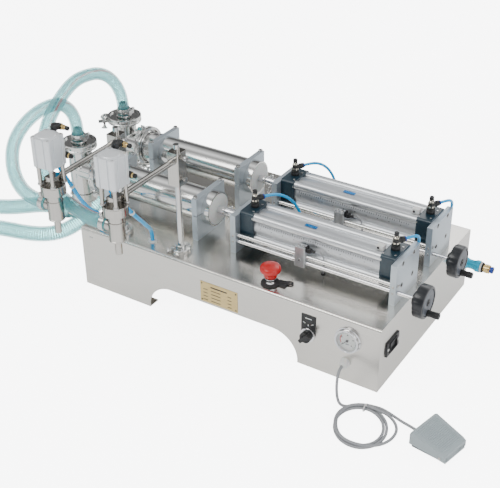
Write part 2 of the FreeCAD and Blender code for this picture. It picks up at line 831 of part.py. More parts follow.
def power_inlet():
    """A three-pin appliance inlet in the right-hand panel."""
    side = "cabinet_length/2"
    flange = block(3, 50, 30, (side, "socket_y - 25", "socket_height - 15"))
    body = block(22, 28, 21, (f"{side} - 22", "socket_y - 14", "socket_height - 10.5"))
    hollow = block(16.5, 24, 17, (f"{side} - 13", "socket_y - 12", "socket_height - 8.5"))
    pins = [
        block(12, 2, 4, (f"{side} - 14", f"socket_y + {y} - 1", f"socket_height + {z}"))
        for y, z in ((0, -2), (-7, -6), (7, -6))
    ]
    node("power_inlet", fuse(cut(fuse(flange, body), hollow), *pins))


def chrome_bezels():
    """Chrome rings: the gauge's case, the selector's collar and the stop button's collar."""
    front = "-cabinet_width/2"
    case = [(0, -22), (19.5, -22), (19.5, 0), (23.5, 0), (23.5, 6), (22, 8), (20.5, 8), (20.5, 2.5), (0, 2.5)]
    pieces = [
        lathe(case, ("gauge_x", front, "gauge_height"), FRONT),
        ring(14.5, 9, 5, ("selector_x", front, "selector_height"), FRONT),
        ring(11, 7, 19, ("stop_x", "stop_y", "cabinet_height - 6")),
    ]
    node("chrome_bezels", *pieces)


def grommets():
    """White plastic: the foot switch's cable gland, and the bushes that the nozzle tubes pass through."""
    gland = [
        ("cable_radius + 0.2", -4),
        (7, -4),
        (7, 0),
        (9.5, 0),
        (9.5, 3),
        (6, 6),
        ("cable_radius + 0.2", 6),
    ]
    bush = [
        ("nozzle_tube_radius + 0.3", -4),
        (5.8, -4),
        (5.8, 0),
        (9.5, 0),
        (8.5, 2.5),
        ("nozzle_tube_radius + 0.3", 2.5),
    ]
    pieces = [lathe(gland, ("gland_x", "-cabinet_width/2", "gland_height"), FRONT)]
    for route in NOZZLE_TUBES.values():
        pieces.append(lathe(bush, (route[-1][0], route[-1][1], "cabinet_height")))
    node("grommets", *pieces)


def air_inlet():
    """The brass core of the hand slide valve, with its push-in fitting, and the blue sleeve on it."""
    core = [
        (3, -14),
        (6, -14),
        (6, 0),
        (10.5, 0),
        (10.5, 6),
        (6.5, 6),
        (6.5, 52),
        (8.8, 52),
        (8.8, 63),
        (6.3, 63),
        (6.3, 70),
        (4.05, 70),
        (4.05, 54),
        (3, 54),
    ]
    sleeve = [
        ("6.5 + running_gap", 0),
        (11, 0),
        (11, 12),
        (9.6, 15),
        (9.6, 18),
        (12, 22),
        (12, 36),
        ("6.5 + running_gap", 36),
    ]
    side = "cabinet_length/2"
    node("air_inlet_core", lathe(core, (side, "inlet_y", "inlet_height"), RIGHT))
    node("air_inlet_sleeve", lathe(sleeve, (f"{side} + 7", "inlet_y", "inlet_height"), RIGHT))


def stop_button():
    outline = [
        (0, -4),
        ("7 - running_gap", -4),
        ("7 - running_gap", 8),
        (13, 9),
        (16, 12),
        (16, 19),
        (20, 29),
        (19.5, 31),
        (0, 32),
    ]
    node("stop_button", lathe(outline, ("stop_x", "stop_y", "cabinet_height + 8")))


def selector_knob():
    front = "-cabinet_width/2"
    stub = rod("9 - running_gap", 8, ("selector_x", front, "selector_height"), FRONT)
    cap = rod(11, 9, ("selector_x", f"{front} - 6", "selector_height"), FRONT)
    grip = block(7, 26, 9, (-3.5, -13, 0))
    holder = doc.addObject("Part::Compound", "grip")
    holder.Links = [grip]
    turn = FRONT * FreeCAD.Rotation(FreeCAD.Vector(0, 0, 1), value("selector_turn"))
    place(holder, ("selector_x", f"{front} - 11", "selector_height"), turn)
    node("selector_knob", fuse(stub, cap, holder))


def gauge_needle():
    front = "-cabinet_width/2 - 3.5"
    hub = rod(2.6, 1.6, ("gauge_x", front, "gauge_height"), FRONT)
    hand = block(1.2, 19, 0.8, (-0.6, -4, 0))
    holder = doc.addObject("Part::Compound", "hand")
    holder.Links = [hand]
    turn = FRONT * FreeCAD.Rotation(FreeCAD.Vector(0, 0, 1), value("needle_turn"))
    place(holder, ("gauge_x", f"{front} - 0.4", "gauge_height"), turn)
    node("gauge_needle", fuse(hub, holder))


def foot_switch():
    """A low base, and a treadle with side skirts that pivots on a pin near its thin end."""
    turn = FreeCAD.Rotation(FreeCAD.Vector(0, 0, 1), value("pedal_turn"))
    upright = turn * FreeCAD.Rotation(FreeCAD.Vector(1, 0, 0), 90)
    pivot = ("pedal_length - 10", "pedal_pivot")
    base = [
        (2, 0),
        ("pedal_length - 1", 0),
        ("pedal_length - 1", 11),
        ("pedal_length - 14", 11),
        (14, 13),
        (2, 13),
    ]
    treadle = [
        (0, 3.5),
        ("pedal_length - 3", 3.5),
        ("pedal_length", 6),
        ("pedal_length", 17),
        ("pedal_length - 3", 21),
        (8, 33),
        (3, 33),
        (0, 30),
    ]
    hollow = [
        (-1, 3),
        ("pedal_length + 1", 3),
        ("pedal_length + 1", 12.5),
        ("pedal_length - 14", 14.5),
        (14, 20),
        (2, 20),
        (2, 17),
        (-1, 17),
    ]
    bore = rod("cable_radius + 0.3", 12, (0, 0, 0), RIGHT)
    cable_way = pedal_piece(bore, turn, 0, "pedal_width/2 - 12", 6, turn * RIGHT)
    low = padded(base, [(*pivot, "pin_radius + running_gap")], "pedal_width - 8", (0, 0, 0))
    pedal_piece(low, turn, 0, "pedal_width/2 - 4", 0, upright)
    node("pedal_base", cut(low, cable_way))
    top = pedal_piece(padded(treadle, [], "pedal_width", (0, 0, 0)), turn, 0, "pedal_width/2", 0, upright)
    space = padded(hollow, [], "pedal_width - 6", (0, 0, 0))
    room = pedal_piece(space, turn, 0, "pedal_width/2 - 3", 0, upright)
    pin = rod("pin_radius", "pedal_width - 2", (0, 0, 0))
    pin = pedal_piece(pin, turn, "pedal_length - 10", "pedal_width/2 - 1", "pedal_pivot", upright)
    node("pedal_treadle", fuse(cut(top, room), pin))


def pedal_piece(thing, turn, x, y, z, attitude):
    """Put a piece at (x, y, z) of the foot switch's own turned frame."""
    shift = turn.multVec(FreeCAD.Vector(value(x) - value("pedal_length/2"), value(y), 0))
    return place(thing, (f"pedal_x + {shift.x:.4f}", f"pedal_y + {shift.y:.4f}", z), attitude)


# Routes of the hoses, tubes and cables, as the points that the centreline turns at.
OUTLET_HOSES = {
    "rear": [
        (-447, 78, 257), (-447, 78, 292), (-448.3, 65, 331.2), (-449.2, 38.2, 363.6), (-447, 1.5, 384.1),
        (-441.8, -38.5, 393.8), (-434.3, -77.2, 399.9), (-423.9, -115.7, 398.9), (-412.1, -153, 392.7),
        (-401, -188, 383), (-390, -220, 369.5), (-377, -248, 353.5), (-362, -273, 335.5),
        (-343, -293, 316), (-319, -308, 298), (-290, -318, 284.5), (-258, -325, 277.5),
        (-227, -334, 276), (-199, -345, 279), (-174, -355, 284), (-153, -360, 288), (-132, -360, 288),
    ],
    "front": [
        (-447, -78, 257), (-447, -78, 288), (-444.2, -87.5, 319.1), (-440.4, -106.2, 345.5),
        (-436, -132.8, 365.2), (-431.8, -165, 375.7), (-431.7, -199.8, 376.3), (-431.5, -233.7, 369.1),
        (-427.5, -265.9, 356.9), (-417.7, -295.3, 340.4), (-398.9, -319.9, 321.1), (-373.3, -339.8, 303.8),
        (-342, -354, 291.9), (-308, -360, 288), (-277, -360, 288),
    ],
}
LOOP_CENTRE = (-760, -405)
LOOP_STEP = 24


def loop(radius, start, steps):
    """A hose's turn on the floor, from an angle in degrees on, anticlockwise from above."""
    angles = [math.radians(start + LOOP_STEP * k) for k in range(steps)]
    x, y = LOOP_CENTRE
    return [(x + radius * math.cos(a), y + radius * math.sin(a), 18.5) for a in angles]


SUCTION_HOSES = {
    "front": [
        (-491, -78, 70), (-533, -78, 70), (-577, -80, 62), (-622, -84, 47), (-668, -89, 32), (-716, -94, 21),
        (-766, -104, 18.5), (-826, -127, 18.5), (-890, -165, 18.5), (-945, -222, 18.5),
        *loop(246, 152, 9),
    ],
    "rear": [
        (-458.39, 35.5, 70), (-467.7, 0.7, 70), (-475, -31, 56), (-484, -61, 37), (-499, -90, 24.5),
        (-521.5, -116, 19), (-552, -136, 18.5), (-586, -147, 18.5), (-621, -154.5, 18.5),
        (-656, -163.5, 18.5), (-702, -179, 18.5), (-770, -200.5, 18.5), *loop(201, 117, 11),
    ],
}
NOZZLE_TUBES = {
    "left": [
        (-272, -327, 420), (-274, -326.6, 396), (-276.5, -325, 370), (-277.5, -319, 347), (-277, -308, 324),
        (-275.5, -294, 297), (-275.5, -276, 260), (-281, -251, 226), (-292, -225, 203), (-303, -201, 184),
        (-309, -187, 168), (-310, -183, 150), (-310, -183, 112),
    ],
    "right": [
        (-130, -328, 422), (-134, -328, 402), (-142, -327.5, 383), (-151, -326.5, 365), (-156.5, -324, 346),
        (-156, -319, 328), (-149, -312, 312), (-140, -304, 297), (-133.5, -294, 280), (-133, -278, 260),
        (-140, -254, 236), (-152, -229, 212), (-166, -205, 191), (-178, -185.5, 174), (-184, -174, 155),
        (-184, -174, 110),
    ],
}
CYLINDER_TUBES = [
    [
        (9.5, -63.28, 244.5), (18, -48.56, 244.5), (29, -33, 241), (41, -18, 230), (51, -6, 213), (58, 1, 192),
        (62, 4, 168), (63, 4, 144), (63, 4, 120),
    ],
    [
        (9.5, 92.72, 244.5), (18, 107.44, 244.5), (28, 123, 242), (38, 138, 232), (47, 149, 215),
        (54, 155, 194), (59, 157, 170), (60, 157, 145), (60, 157, 120),
    ],
    [
        (312.5, -63.28, 244.5), (320.3, -49.77, 244.5), (325, -35, 241), (325, -21, 230), (321, -11, 212),
        (315, -6, 190), (311, -5, 167), (310, -5, 144), (310, -5, 120),
    ],
    [
        (312.5, 92.72, 244.5), (320.3, 106.23, 244.5), (325, 121, 241), (325, 135, 230), (321, 145, 212),
        (315, 150, 190), (311, 151, 167), (310, 151, 144), (310, 151, 120),
    ],
]
SENSOR_CABLES = {
    "front": [
        (152, -119, 195), (161, -118.8, 195), (169, -116.2, 193), (174, -112.9, 187), (176, -112.4, 178),
        (176, -112.2, 168), (174, -110, 158), (170.6, -104.5, 151), (169, -101, 144), (169, -101, 121),
    ],
    "rear": [
        (152, 37, 195), (161, 37.2, 195), (169, 39.8, 193), (174, 43.1, 187), (176, 43.6, 178),
        (177, 43.8, 168), (178.4, 42.6, 158), (180, 39.4, 150), (180.5, 37.6, 142), (180.5, 37.6, 121),
    ],
}
PEDAL_CABLE = [
    [
        (278, -214, 43), (278, -228, 43), (280, -241, 37), (284, -251, 27), (290, -259, 16), (299, -264, 8),
        (311, -265, 4), (327, -263, 3.5), (345, -262, 3.5),
    ],
    [
        (377, -262, 3.5), (391, -261.6, 3.5), (405, -261.6, 4), (419, -262.2, 5), (432.5, -264, 5.8),
        (447.28, -267.75, 6), (462.87, -271.35, 6),
    ],
]
COIL_CENTRE = ("361", "-307")


def pipe(points, radius):
    """A tube along straight runs joined by tangent arcs, with the smallest bend of each route."""
    corners = [FreeCAD.Vector(*point) for point in points]
    runs = [b - a for a, b in zip(corners, corners[1:])]
    edges = []
    start = corners[0]
    for corner, before, after in zip(corners[1:], runs, runs[1:]):
        turn = before.getAngle(after)
        reach = 0.45 * min(before.Length, after.Length)
        into, out_of = FreeCAD.Vector(before).normalize(), FreeCAD.Vector(after).normalize()
        first, last = corner - into * reach, corner + out_of * reach
        bend = reach / math.tan(turn / 2)
        inward = (out_of - into).normalize()
        middle = corner + inward * (bend / math.cos(turn / 2) - bend)
        edges.append(Part.LineSegment(start, first).toShape())
        edges.append(Part.Arc(first, middle, last).toShape())
        bends.append(round(bend / radius / 2, 1))
        start = last
    edges.append(Part.LineSegment(start, corners[-1]).toShape())
    spine = Part.Wire(edges)
    section = Part.Wire([Part.makeCircle(radius, corners[0], runs[0])])
    shape = spine.makePipeShell([section], True, False)
    expected = math.pi * radius**2 * spine.Length
    print(f"  length {spine.Length:.0f} volume ratio {shape.Volume / expected:.4f} bends in diameters {bends}")
    bends.clear()
    thing = doc.addObject("Part::Feature", "route")
    thing.Shape = shape
    return thing


bends = []


def hoses_and_cables():
    for row in ROWS:
        print(row, "outlet hose")
        node(f"{row}_outlet_hose", pipe(OUTLET_HOSES[row], value("hose_radius")))
        print(row, "suction hose")
        node(f"{row}_suction_hose", pipe(SUCTION_HOSES[row], value("suction_radius")))
        print(row, "sensor cable")
        node(f"{row}_sensor_cable", pipe(SENSOR_CABLES[row], value("sensor_cable_radius")))
    for side in COLUMNS:
        print(side, "nozzle air tube")
        node(f"{side}_nozzle_air_tube", pipe(NOZZLE_TUBES[side], value("nozzle_tube_radius")))
    print("cylinder air tubes")
    node("cylinder_air_tubes", *[pipe(route, value("air_tube_radius")) for route in CYLINDER_TUBES])
    print("pedal cable")
    node("pedal_cable", *[pipe(route, value("cable_radius")) for route in PEDAL_CABLE])
    coil = primitive("Torus", (*COIL_CENTRE, 9), Radius1=46, Radius2=8.5)
    node("pedal_cable_coil", coil)


def write_steps():
    doc.recompute()
    bad = [thing.Label for thing in doc.Objects if {"Invalid", "Error"} & set(thing.State)]
    bad += [thing.Label for thing in nodes if thing.Shape.isNull() or not thing.Shape.isValid()]
    if bad:
        raise RuntimeError(f"objects that did not build: {bad}")
    os.makedirs("parts", exist_ok=True)
    for thing in nodes:
        thing.Shape.exportStep(f"parts/{thing.Label}.step")
    print(len(nodes), "sub-parts written")


for build in (
    cabinet_shell, side_panels, base_flange, saddles, liquid_cylinders, valve_bodies, tri_clamps, hose_barbs,
    check_poppets, air_barrels, barrel_end_caps, end_plates, guide_rods, flow_controls, hose_clamps,
    piston_sets, stroke_adjusters, nozzle_columns, nameplate, switch_legends, power_inlet, chrome_bezels,
    grommets, air_inlet, stop_button, selector_knob, gauge_needle, foot_switch, hoses_and_cables,
):
    build()
for side, x in COLUMNS.items():
    nozzle_arm(side, x)
    nozzle_actuator(side, x)
    nozzle_body(side, x)
    nozzle_stem(side, x)
write_steps()
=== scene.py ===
import math
from functools import partial

import bmesh
import bpy
from mathutils import Matrix, Quaternion, Vector


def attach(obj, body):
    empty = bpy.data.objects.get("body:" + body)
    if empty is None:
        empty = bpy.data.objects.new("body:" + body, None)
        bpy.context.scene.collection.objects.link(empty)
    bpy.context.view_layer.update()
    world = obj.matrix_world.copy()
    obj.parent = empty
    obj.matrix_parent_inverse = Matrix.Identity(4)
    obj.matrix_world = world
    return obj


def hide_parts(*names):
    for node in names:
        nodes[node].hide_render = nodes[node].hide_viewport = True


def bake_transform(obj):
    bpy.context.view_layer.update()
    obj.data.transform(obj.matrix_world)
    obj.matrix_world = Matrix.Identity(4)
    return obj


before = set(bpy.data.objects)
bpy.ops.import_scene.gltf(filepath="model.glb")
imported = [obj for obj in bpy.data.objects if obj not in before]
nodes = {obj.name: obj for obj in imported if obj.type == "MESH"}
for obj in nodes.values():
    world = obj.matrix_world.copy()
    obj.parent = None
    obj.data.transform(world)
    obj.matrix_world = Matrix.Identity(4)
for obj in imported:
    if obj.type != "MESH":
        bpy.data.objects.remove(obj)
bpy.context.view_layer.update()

# Looks of a double-head piston liquid filler. Points and lengths are in millimetres unless a
# comment says metres. +X points to the handwheels, +Y to the cabinet's back, +Z up.

X, Y, Z = Vector((1, 0, 0)), Vector((0, 1, 0)), Vector((0, 0, 1))
ROWS = {"front": -78, "rear": 78}  # the y of each row of cylinders
NOZZLES = {"left": -257, "right": -112}  # the x of each nozzle
AXIS = 195  # the height of both rows
VALVE_X = -447
NOZZLE_Y = -360
COLUMN_Y = -175
GAUGE = Vector((281, -210, 95))
STOP = (99, -180, 0)
AIR_INLET = (0, 167, 82)
BOLT = 23.25  # from a row's axis to its tie bolts, along y and z
SCREW_OFFSET = 41  # from a row to its adjusting screw
CONTROLS = (1, 304)  # the x of a row's two speed controls
OUTLET = {"radius": 0.0135, "bore": 0.0102, "pitch": 0.0045, "rib": 0.0010}  # metres
SUCTION = {"radius": 0.018, "bore": 0.014, "pitch": 0.0056, "rib": 0.0012}  # metres


CORNERS = [(a, b) for a in (-1, 1) for b in (-1, 1)]


def mm(point):
    return Vector(point) * 0.001


def toward(angle):
    """The level direction at an angle in radians from +X."""
    return Vector((math.cos(angle), math.sin(angle), 0))


def turned(x, y, z):
    """The turn that takes the three axes to x, y and z."""
    return Matrix((x, y, z)).transposed().to_quaternion()


# ---------------------------------------------------------------- materials

def arithmetic(tree, operation, *values):
    """A math node's output. Each value is a number or another node's output."""
    made = tree.nodes.new("ShaderNodeMath")
    made.operation = operation
    for socket, value in zip(made.inputs, values):
        if isinstance(value, (int, float)):
            socket.default_value = value
        else:
            tree.links.new(value, socket)
    return made.outputs[0]


def surface(
    name, colour, second=None, metallic=0.0, rough=0.4, spread=0.08, grain=(60, 60, 60), patch=4.0,
    bump=0.08, round_edge=0.0004, edge=0.0, edge_colour=None, **sockets
):
    """A Principled surface: two tones mixed by large soft patches, fine stretched grain in the
    roughness and bump, softened edges, and an optional painted highlight: paler colour along rounded edges
    and corners."""
    made = bpy.data.materials.new(name)
    made.use_nodes = True
    tree = made.node_tree
    node, link = tree.nodes.new, tree.links.new
    shader = tree.nodes["Principled BSDF"]
    second = second or tuple(0.88 * channel for channel in colour)
    place = node("ShaderNodeTexCoord").outputs["Object"]

    def noise(scale, detail, stretch=(1, 1, 1)):
        mapping = node("ShaderNodeMapping")
        mapping.inputs["Scale"].default_value = stretch
        link(place, mapping.inputs["Vector"])
        texture = node("ShaderNodeTexNoise")
        texture.inputs["Scale"].default_value = scale
        texture.inputs["Detail"].default_value = detail
        link(mapping.outputs["Vector"], texture.inputs["Vector"])
        return texture.outputs["Fac"]

    def ranged(value, low, high, start=0.3, end=0.7):
        mapper = node("ShaderNodeMapRange")
        for socket, number in zip(("From Min", "From Max", "To Min", "To Max"), (start, end, low, high)):
            mapper.inputs[socket].default_value = number
        link(value, mapper.inputs["Value"])
        return mapper.outputs["Result"]

    patches = noise(patch, 3)
    fine = noise(1.0, 5, grain)
    blend = node("ShaderNodeMix")
    blend.data_type = "RGBA"
    blend.inputs["A"].default_value = (*colour, 1)
    blend.inputs["B"].default_value = (*second, 1)
    both = arithmetic(tree, "MULTIPLY_ADD", fine, 0.5, arithmetic(tree, "MULTIPLY", patches, 0.5))
    link(ranged(both, 0, 1), blend.inputs["Factor"])
    tone = blend.outputs["Result"]
    bevel = node("ShaderNodeBevel")
    bevel.samples = 4
    bevel.inputs["Radius"].default_value = round_edge
    # Painted highlight: the colour turns paler where the rounded-edge normal leans away from the face
    # normal.
    if edge:
        geometry = node("ShaderNodeNewGeometry")
        across = node("ShaderNodeVectorMath")
        across.operation = "DOT_PRODUCT"
        link(geometry.outputs["Normal"], across.inputs[0])
        link(bevel.outputs["Normal"], across.inputs[1])
        edge_highlight = node("ShaderNodeMix")
        edge_highlight.data_type = "RGBA"
        edge_highlight.inputs["B"].default_value = (*(edge_colour or tuple(min(1, 1.6 * c + 0.1) for c in colour)), 1)
        link(tone, edge_highlight.inputs["A"])
        link(ranged(across.outputs["Value"], edge, 0, 0.75, 0.99), edge_highlight.inputs["Factor"])
        tone = edge_highlight.outputs["Result"]
    link(tone, shader.inputs["Base Color"])
    shader.inputs["Metallic"].default_value = metallic
    link(ranged(fine, rough - spread / 2, rough + spread / 2), shader.inputs["Roughness"])
    raised = node("ShaderNodeBump")
    raised.inputs["Strength"].default_value = bump
    raised.inputs["Distance"].default_value = 0.0004
    link(fine, raised.inputs["Height"])
    link(bevel.outputs["Normal"], raised.inputs["Normal"])
    link(raised.outputs["Normal"], shader.inputs["Normal"])
    for socket, number in sockets.items():
        shader.inputs[socket.replace("_", " ")].default_value = number
    return made


# edge and edge_colour set the strength and colour of each material's painted edge highlight.
MAT = {
    "cabinet": surface(
        "brushed_cabinet_steel", (0.74, 0.72, 0.675), (0.68, 0.66, 0.62), 1.0, 0.25, 0.05, (14, 900, 900),
        3.0, 0.012, Anisotropic=0.4,
    ),
    "polished": surface(
        "polished_stainless", (0.72, 0.715, 0.70), (0.62, 0.62, 0.61), 1.0, 0.13, 0.08, (300, 300, 300),
        12.0, 0.03, Anisotropic=0.3,
    ),
    "satin": surface(
        "satin_stainless", (0.60, 0.60, 0.59), (0.5, 0.5, 0.5), 1.0, 0.27, 0.12, (500, 500, 500), 15.0,
        0.06,
    ),
    "nozzle": surface(
        "turned_nozzle_steel", (0.60, 0.58, 0.54), (0.50, 0.485, 0.46), 1.0, 0.14, 0.08, (900, 900, 8),
        15.0, 0.03, Specular_Tint=(0.2, 0.19, 0.18, 1),
    ),
    "chrome": surface(
        "bright_chrome", (0.80, 0.80, 0.82), (0.70, 0.70, 0.72), 1.0, 0.07, 0.04, (150, 150, 150), 9.0,
        0.01,
    ),
    "anodised": surface(
        "blue_grey_anodised_plate", (0.55, 0.61, 0.66), (0.48, 0.54, 0.59), 0.75, 0.42, 0.10,
        (1100, 1100, 1100), 14.0, 0.10, edge=0.6, edge_colour=(0.85, 0.88, 0.9),
    ),
    "barrel": surface(
        "silver_anodised_barrel", (0.66, 0.68, 0.70), (0.58, 0.60, 0.62), 0.85, 0.34, 0.08,
        (25, 900, 900), 9.0, 0.07, edge=0.4,
    ),
    "actuator": surface(
        "clear_anodised_actuator", (0.86, 0.89, 0.91), (0.80, 0.83, 0.86), 0.35, 0.38, 0.08,
        (900, 900, 60), 14.0, 0.08, edge=0.5,
    ),
    "cap": surface(
        "navy_cap_enamel", (0.010, 0.038, 0.058), (0.006, 0.022, 0.036), 0.0, 0.34, 0.10, (420, 420, 420),
        20.0, 0.12, edge=0.35, edge_colour=(0.12, 0.2, 0.25), Coat_Weight=0.25, Coat_Roughness=0.2,
    ),
    "ptfe": surface(
        "white_ptfe", (0.86, 0.86, 0.84), (0.80, 0.80, 0.77), 0.0, 0.42, 0.08, (260, 260, 260), 18.0,
        0.06, Subsurface_Weight=0.15, Subsurface_Scale=0.004,
    ),
    "black": surface(
        "black_moulded_plastic", (0.008, 0.009, 0.010), (0.014, 0.015, 0.016), 0.0, 0.42, 0.12,
        (900, 900, 900), 30.0, 0.12, edge=0.25, edge_colour=(0.12, 0.12, 0.13),
    ),
    "charcoal": surface(
        "charcoal_handwheel", (0.012, 0.014, 0.018), (0.008, 0.010, 0.013), 0.0, 0.33, 0.10,
        (700, 700, 700), 26.0, 0.10, edge=0.3, edge_colour=(0.15, 0.17, 0.19), Coat_Weight=0.2,
    ),
    "wheel_face": surface(
        "grey_wheel_insert", (0.10, 0.11, 0.13), (0.07, 0.08, 0.10), 0.0, 0.40, 0.08, (500, 500, 500),
        22.0, 0.10,
    ),
    "red": surface(
        "red_button_plastic", (0.62, 0.006, 0.004), (0.50, 0.004, 0.003), 0.0, 0.26, 0.08,
        (500, 500, 500), 40.0, 0.04, edge=0.2, edge_colour=(0.85, 0.15, 0.10), Coat_Weight=0.4,
    ),
    "brass": surface(
        "turned_brass", (0.80, 0.60, 0.28), (0.70, 0.51, 0.22), 1.0, 0.20, 0.08, (200, 900, 900), 25.0,
        0.05,
    ),
    "nickel": surface(
        "nickel_plated_brass", (0.74, 0.70, 0.60), (0.64, 0.60, 0.50), 1.0, 0.18, 0.08, (600, 600, 600),
        30.0, 0.04,
    ),
    "gold": surface(
        "gold_nameplate", (0.72, 0.56, 0.27), (0.62, 0.47, 0.21), 0.9, 0.30, 0.10, (30, 900, 900), 20.0,
        0.04,
    ),
    "blue_metal": surface(
        "blue_anodised_sleeve", (0.02, 0.24, 0.62), (0.015, 0.19, 0.53), 0.6, 0.28, 0.08, (900, 300, 300),
        25.0, 0.05, edge=0.5, edge_colour=(0.45, 0.65, 0.9),
    ),
    "blue_collar": surface(
        "royal_blue_release_collar", (0.010, 0.06, 0.42), (0.008, 0.045, 0.34), 0.0, 0.35, 0.08,
        (500, 500, 500), 30.0, 0.05,
    ),
    "tube": surface(
        "blue_polyurethane_tube", (0.0, 0.42, 0.86), (0.0, 0.36, 0.78), 0.0, 0.24, 0.06, (200, 200, 200),
        12.0, 0.03,
    ),
    "cable": surface(
        "grey_pvc_cable", (0.36, 0.37, 0.385), (0.31, 0.32, 0.335), 0.0, 0.42, 0.10, (400, 400, 400),
        25.0, 0.08,
    ),
    "pedal": surface(
        "blue_grey_pedal_plastic", (0.40, 0.465, 0.485), (0.36, 0.42, 0.44), 0.0, 0.42, 0.08,
        (900, 900, 900), 16.0, 0.12, edge=0.35, edge_colour=(0.55, 0.62, 0.64),
    ),
    "white": surface(
        "white_nylon", (0.80, 0.80, 0.78), (0.74, 0.74, 0.72), 0.0, 0.34, 0.08, (500, 500, 500), 25.0,
        0.05, Subsurface_Weight=0.1, Subsurface_Scale=0.002,
    ),
    "ink": surface(
        "printed_ink", (0.008, 0.010, 0.018), (0.016, 0.018, 0.026), 0.0, 0.5, 0.1, (900, 900, 900), 40.0,
        0.02,
    ),
    "rubber": surface(
        "black_rubber", (0.022, 0.022, 0.023), (0.03, 0.03, 0.03), 0.0, 0.62, 0.1, (700, 700, 700), 30.0,
        0.15,
    ),
}


def hose_material(name, tint, dark, rib_pitch, stripes):
    """Clear ribbed hose: a see-through wall that is denser towards its outline, with a denser rib.
    The mesh's UVs hold the length along the hose in metres and the turn around it."""
    made = bpy.data.materials.new(name)
    made.use_nodes = True
    tree = made.node_tree
    node, link = tree.nodes.new, tree.links.new
    shader = tree.nodes["Principled BSDF"]
    output = tree.nodes["Material Output"]
    uv = node("ShaderNodeSeparateXYZ")
    link(node("ShaderNodeTexCoord").outputs["UV"], uv.inputs[0])
    math_node = partial(arithmetic, tree)
    turns = math_node("MULTIPLY_ADD", uv.outputs[0], 1 / rib_pitch, uv.outputs[1])
    phase = math_node("MULTIPLY", turns, 2 * math.pi)
    rib = math_node("MULTIPLY_ADD", math_node("COSINE", phase), 0.5, 0.5)
    rib = math_node("POWER", rib, 1.6)
    cloud = node("ShaderNodeTexNoise")
    cloud.inputs["Scale"].default_value = 18
    cloud.inputs["Detail"].default_value = 3
    link(node("ShaderNodeTexCoord").outputs["Object"], cloud.inputs["Vector"])
    tone = node("ShaderNodeMix")
    tone.data_type = "RGBA"
    tone.inputs["A"].default_value = (*tint, 1)
    tone.inputs["B"].default_value = (*dark, 1)
    link(
        math_node("MULTIPLY_ADD", cloud.outputs["Fac"], 0.25, math_node("MULTIPLY", rib, 0.75)),
        tone.inputs["Factor"],
    )
    colour = tone.outputs["Result"]
    for centre, width, paint, dash in stripes:
        offset = math_node("ABSOLUTE", math_node("SUBTRACT", uv.outputs[1], centre))
        mask = math_node("LESS_THAN", offset, width)
        if dash:
            cut = math_node(
                "LESS_THAN", math_node("FRACT", math_node("MULTIPLY", uv.outputs[0], 1 / dash)), 0.6,
            )
            mask = math_node("MULTIPLY", mask, cut)
        stripe = node("ShaderNodeMix")
        stripe.data_type = "RGBA"
        stripe.inputs["B"].default_value = (*paint, 1)
        link(colour, stripe.inputs["A"])
        link(mask, stripe.inputs["Factor"])
        colour = stripe.outputs["Result"]
    link(colour, shader.inputs["Base Color"])
    shader.inputs["Roughness"].default_value = 0.16
    shader.inputs["IOR"].default_value = 1.42
    shader.inputs["Transmission Weight"].default_value = 0.35
    shader.inputs["Subsurface Weight"].default_value = 0.2
    shader.inputs["Subsurface Scale"].default_value = 0.004
    raised = node("ShaderNodeBump")
    raised.inputs["Strength"].default_value = 0.35
    raised.inputs["Distance"].default_value = 0.0012
    link(rib, raised.inputs["Height"])
    link(raised.outputs["Normal"], shader.inputs["Normal"])
    clear = node("ShaderNodeBsdfTransparent")
    clear.inputs["Color"].default_value = (0.80, 0.96, 0.96, 1)
    facing = node("ShaderNodeLayerWeight")
    facing.inputs["Blend"].default_value = 0.45
    solid = math_node(
        "MULTIPLY_ADD", facing.outputs["Facing"], 0.55, math_node("MULTIPLY_ADD", rib, 0.34, 0.12),
    )
    mixed = node("ShaderNodeMixShader")
    link(math_node("MINIMUM", solid, 1.0), mixed.inputs["Fac"])
    link(clear.outputs[0], mixed.inputs[1])
    link(shader.outputs[0], mixed.inputs[2])
    link(mixed.outputs[0], output.inputs["Surface"])
    return made


OUTLET_HOSE = hose_material(
    "clear_ribbed_hose_striped", (0.58, 0.92, 0.93), (0.06, 0.38, 0.44), OUTLET["pitch"],
    [(0.12, 0.030, (0.75, 0.02, 0.02), 0), (0.20, 0.018, (0.01, 0.03, 0.06), 0.012)],
)
SUCTION_HOSE = hose_material(
    "clear_ribbed_suction_hose", (0.56, 0.92, 0.91), (0.06, 0.38, 0.42), SUCTION["pitch"],
    [(0.30, 0.010, (0.03, 0.06, 0.10), 0.014)],
)


def clear_glass():
    """Thin clear pane: mostly see-through, glossier at a slant, with faint smears."""
    made = surface("clear_pane", (0.95, 0.97, 0.97), None, 0.0, 0.05, 0.03, (8, 8, 8), 3.0, 0.01)
    tree = made.node_tree
    mixed = tree.nodes.new("ShaderNodeMixShader")
    clear = tree.nodes.new("ShaderNodeBsdfTransparent")
    facing = tree.nodes.new("ShaderNodeLayerWeight")
    facing.inputs["Blend"].default_value = 0.12
    tree.links.new(facing.outputs["Facing"], mixed.inputs["Fac"])
    tree.links.new(clear.outputs[0], mixed.inputs[1])
    tree.links.new(tree.nodes["Principled BSDF"].outputs[0], mixed.inputs[2])
    tree.links.new(mixed.outputs[0], tree.nodes["Material Output"].inputs["Surface"])
    return made


GLASS = clear_glass()
MAT["sleeve"] = surface(
    "cyan_blue_sleeve", (0.01, 0.46, 0.68), (0.01, 0.38, 0.60), 0.35, 0.24, 0.08, (900, 300, 300), 25.0,
    0.05, edge=0.5, edge_colour=(0.4, 0.8, 0.95),
)


# --------------------------------------------------------------- mesh helpers

def finish_object(name, mesh, material, body, smooth=40):
    piece = bpy.data.objects.new(name, mesh)
    bpy.context.scene.collection.objects.link(piece)
    mesh.materials.clear()
    mesh.materials.append(MAT[material] if isinstance(material, str) else material)
    if smooth:
        mesh.polygons.foreach_set("use_smooth", [True] * len(mesh.polygons))
        mesh.set_sharp_from_angle(angle=math.radians(smooth))
    if body:
        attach(piece, body)
    return piece


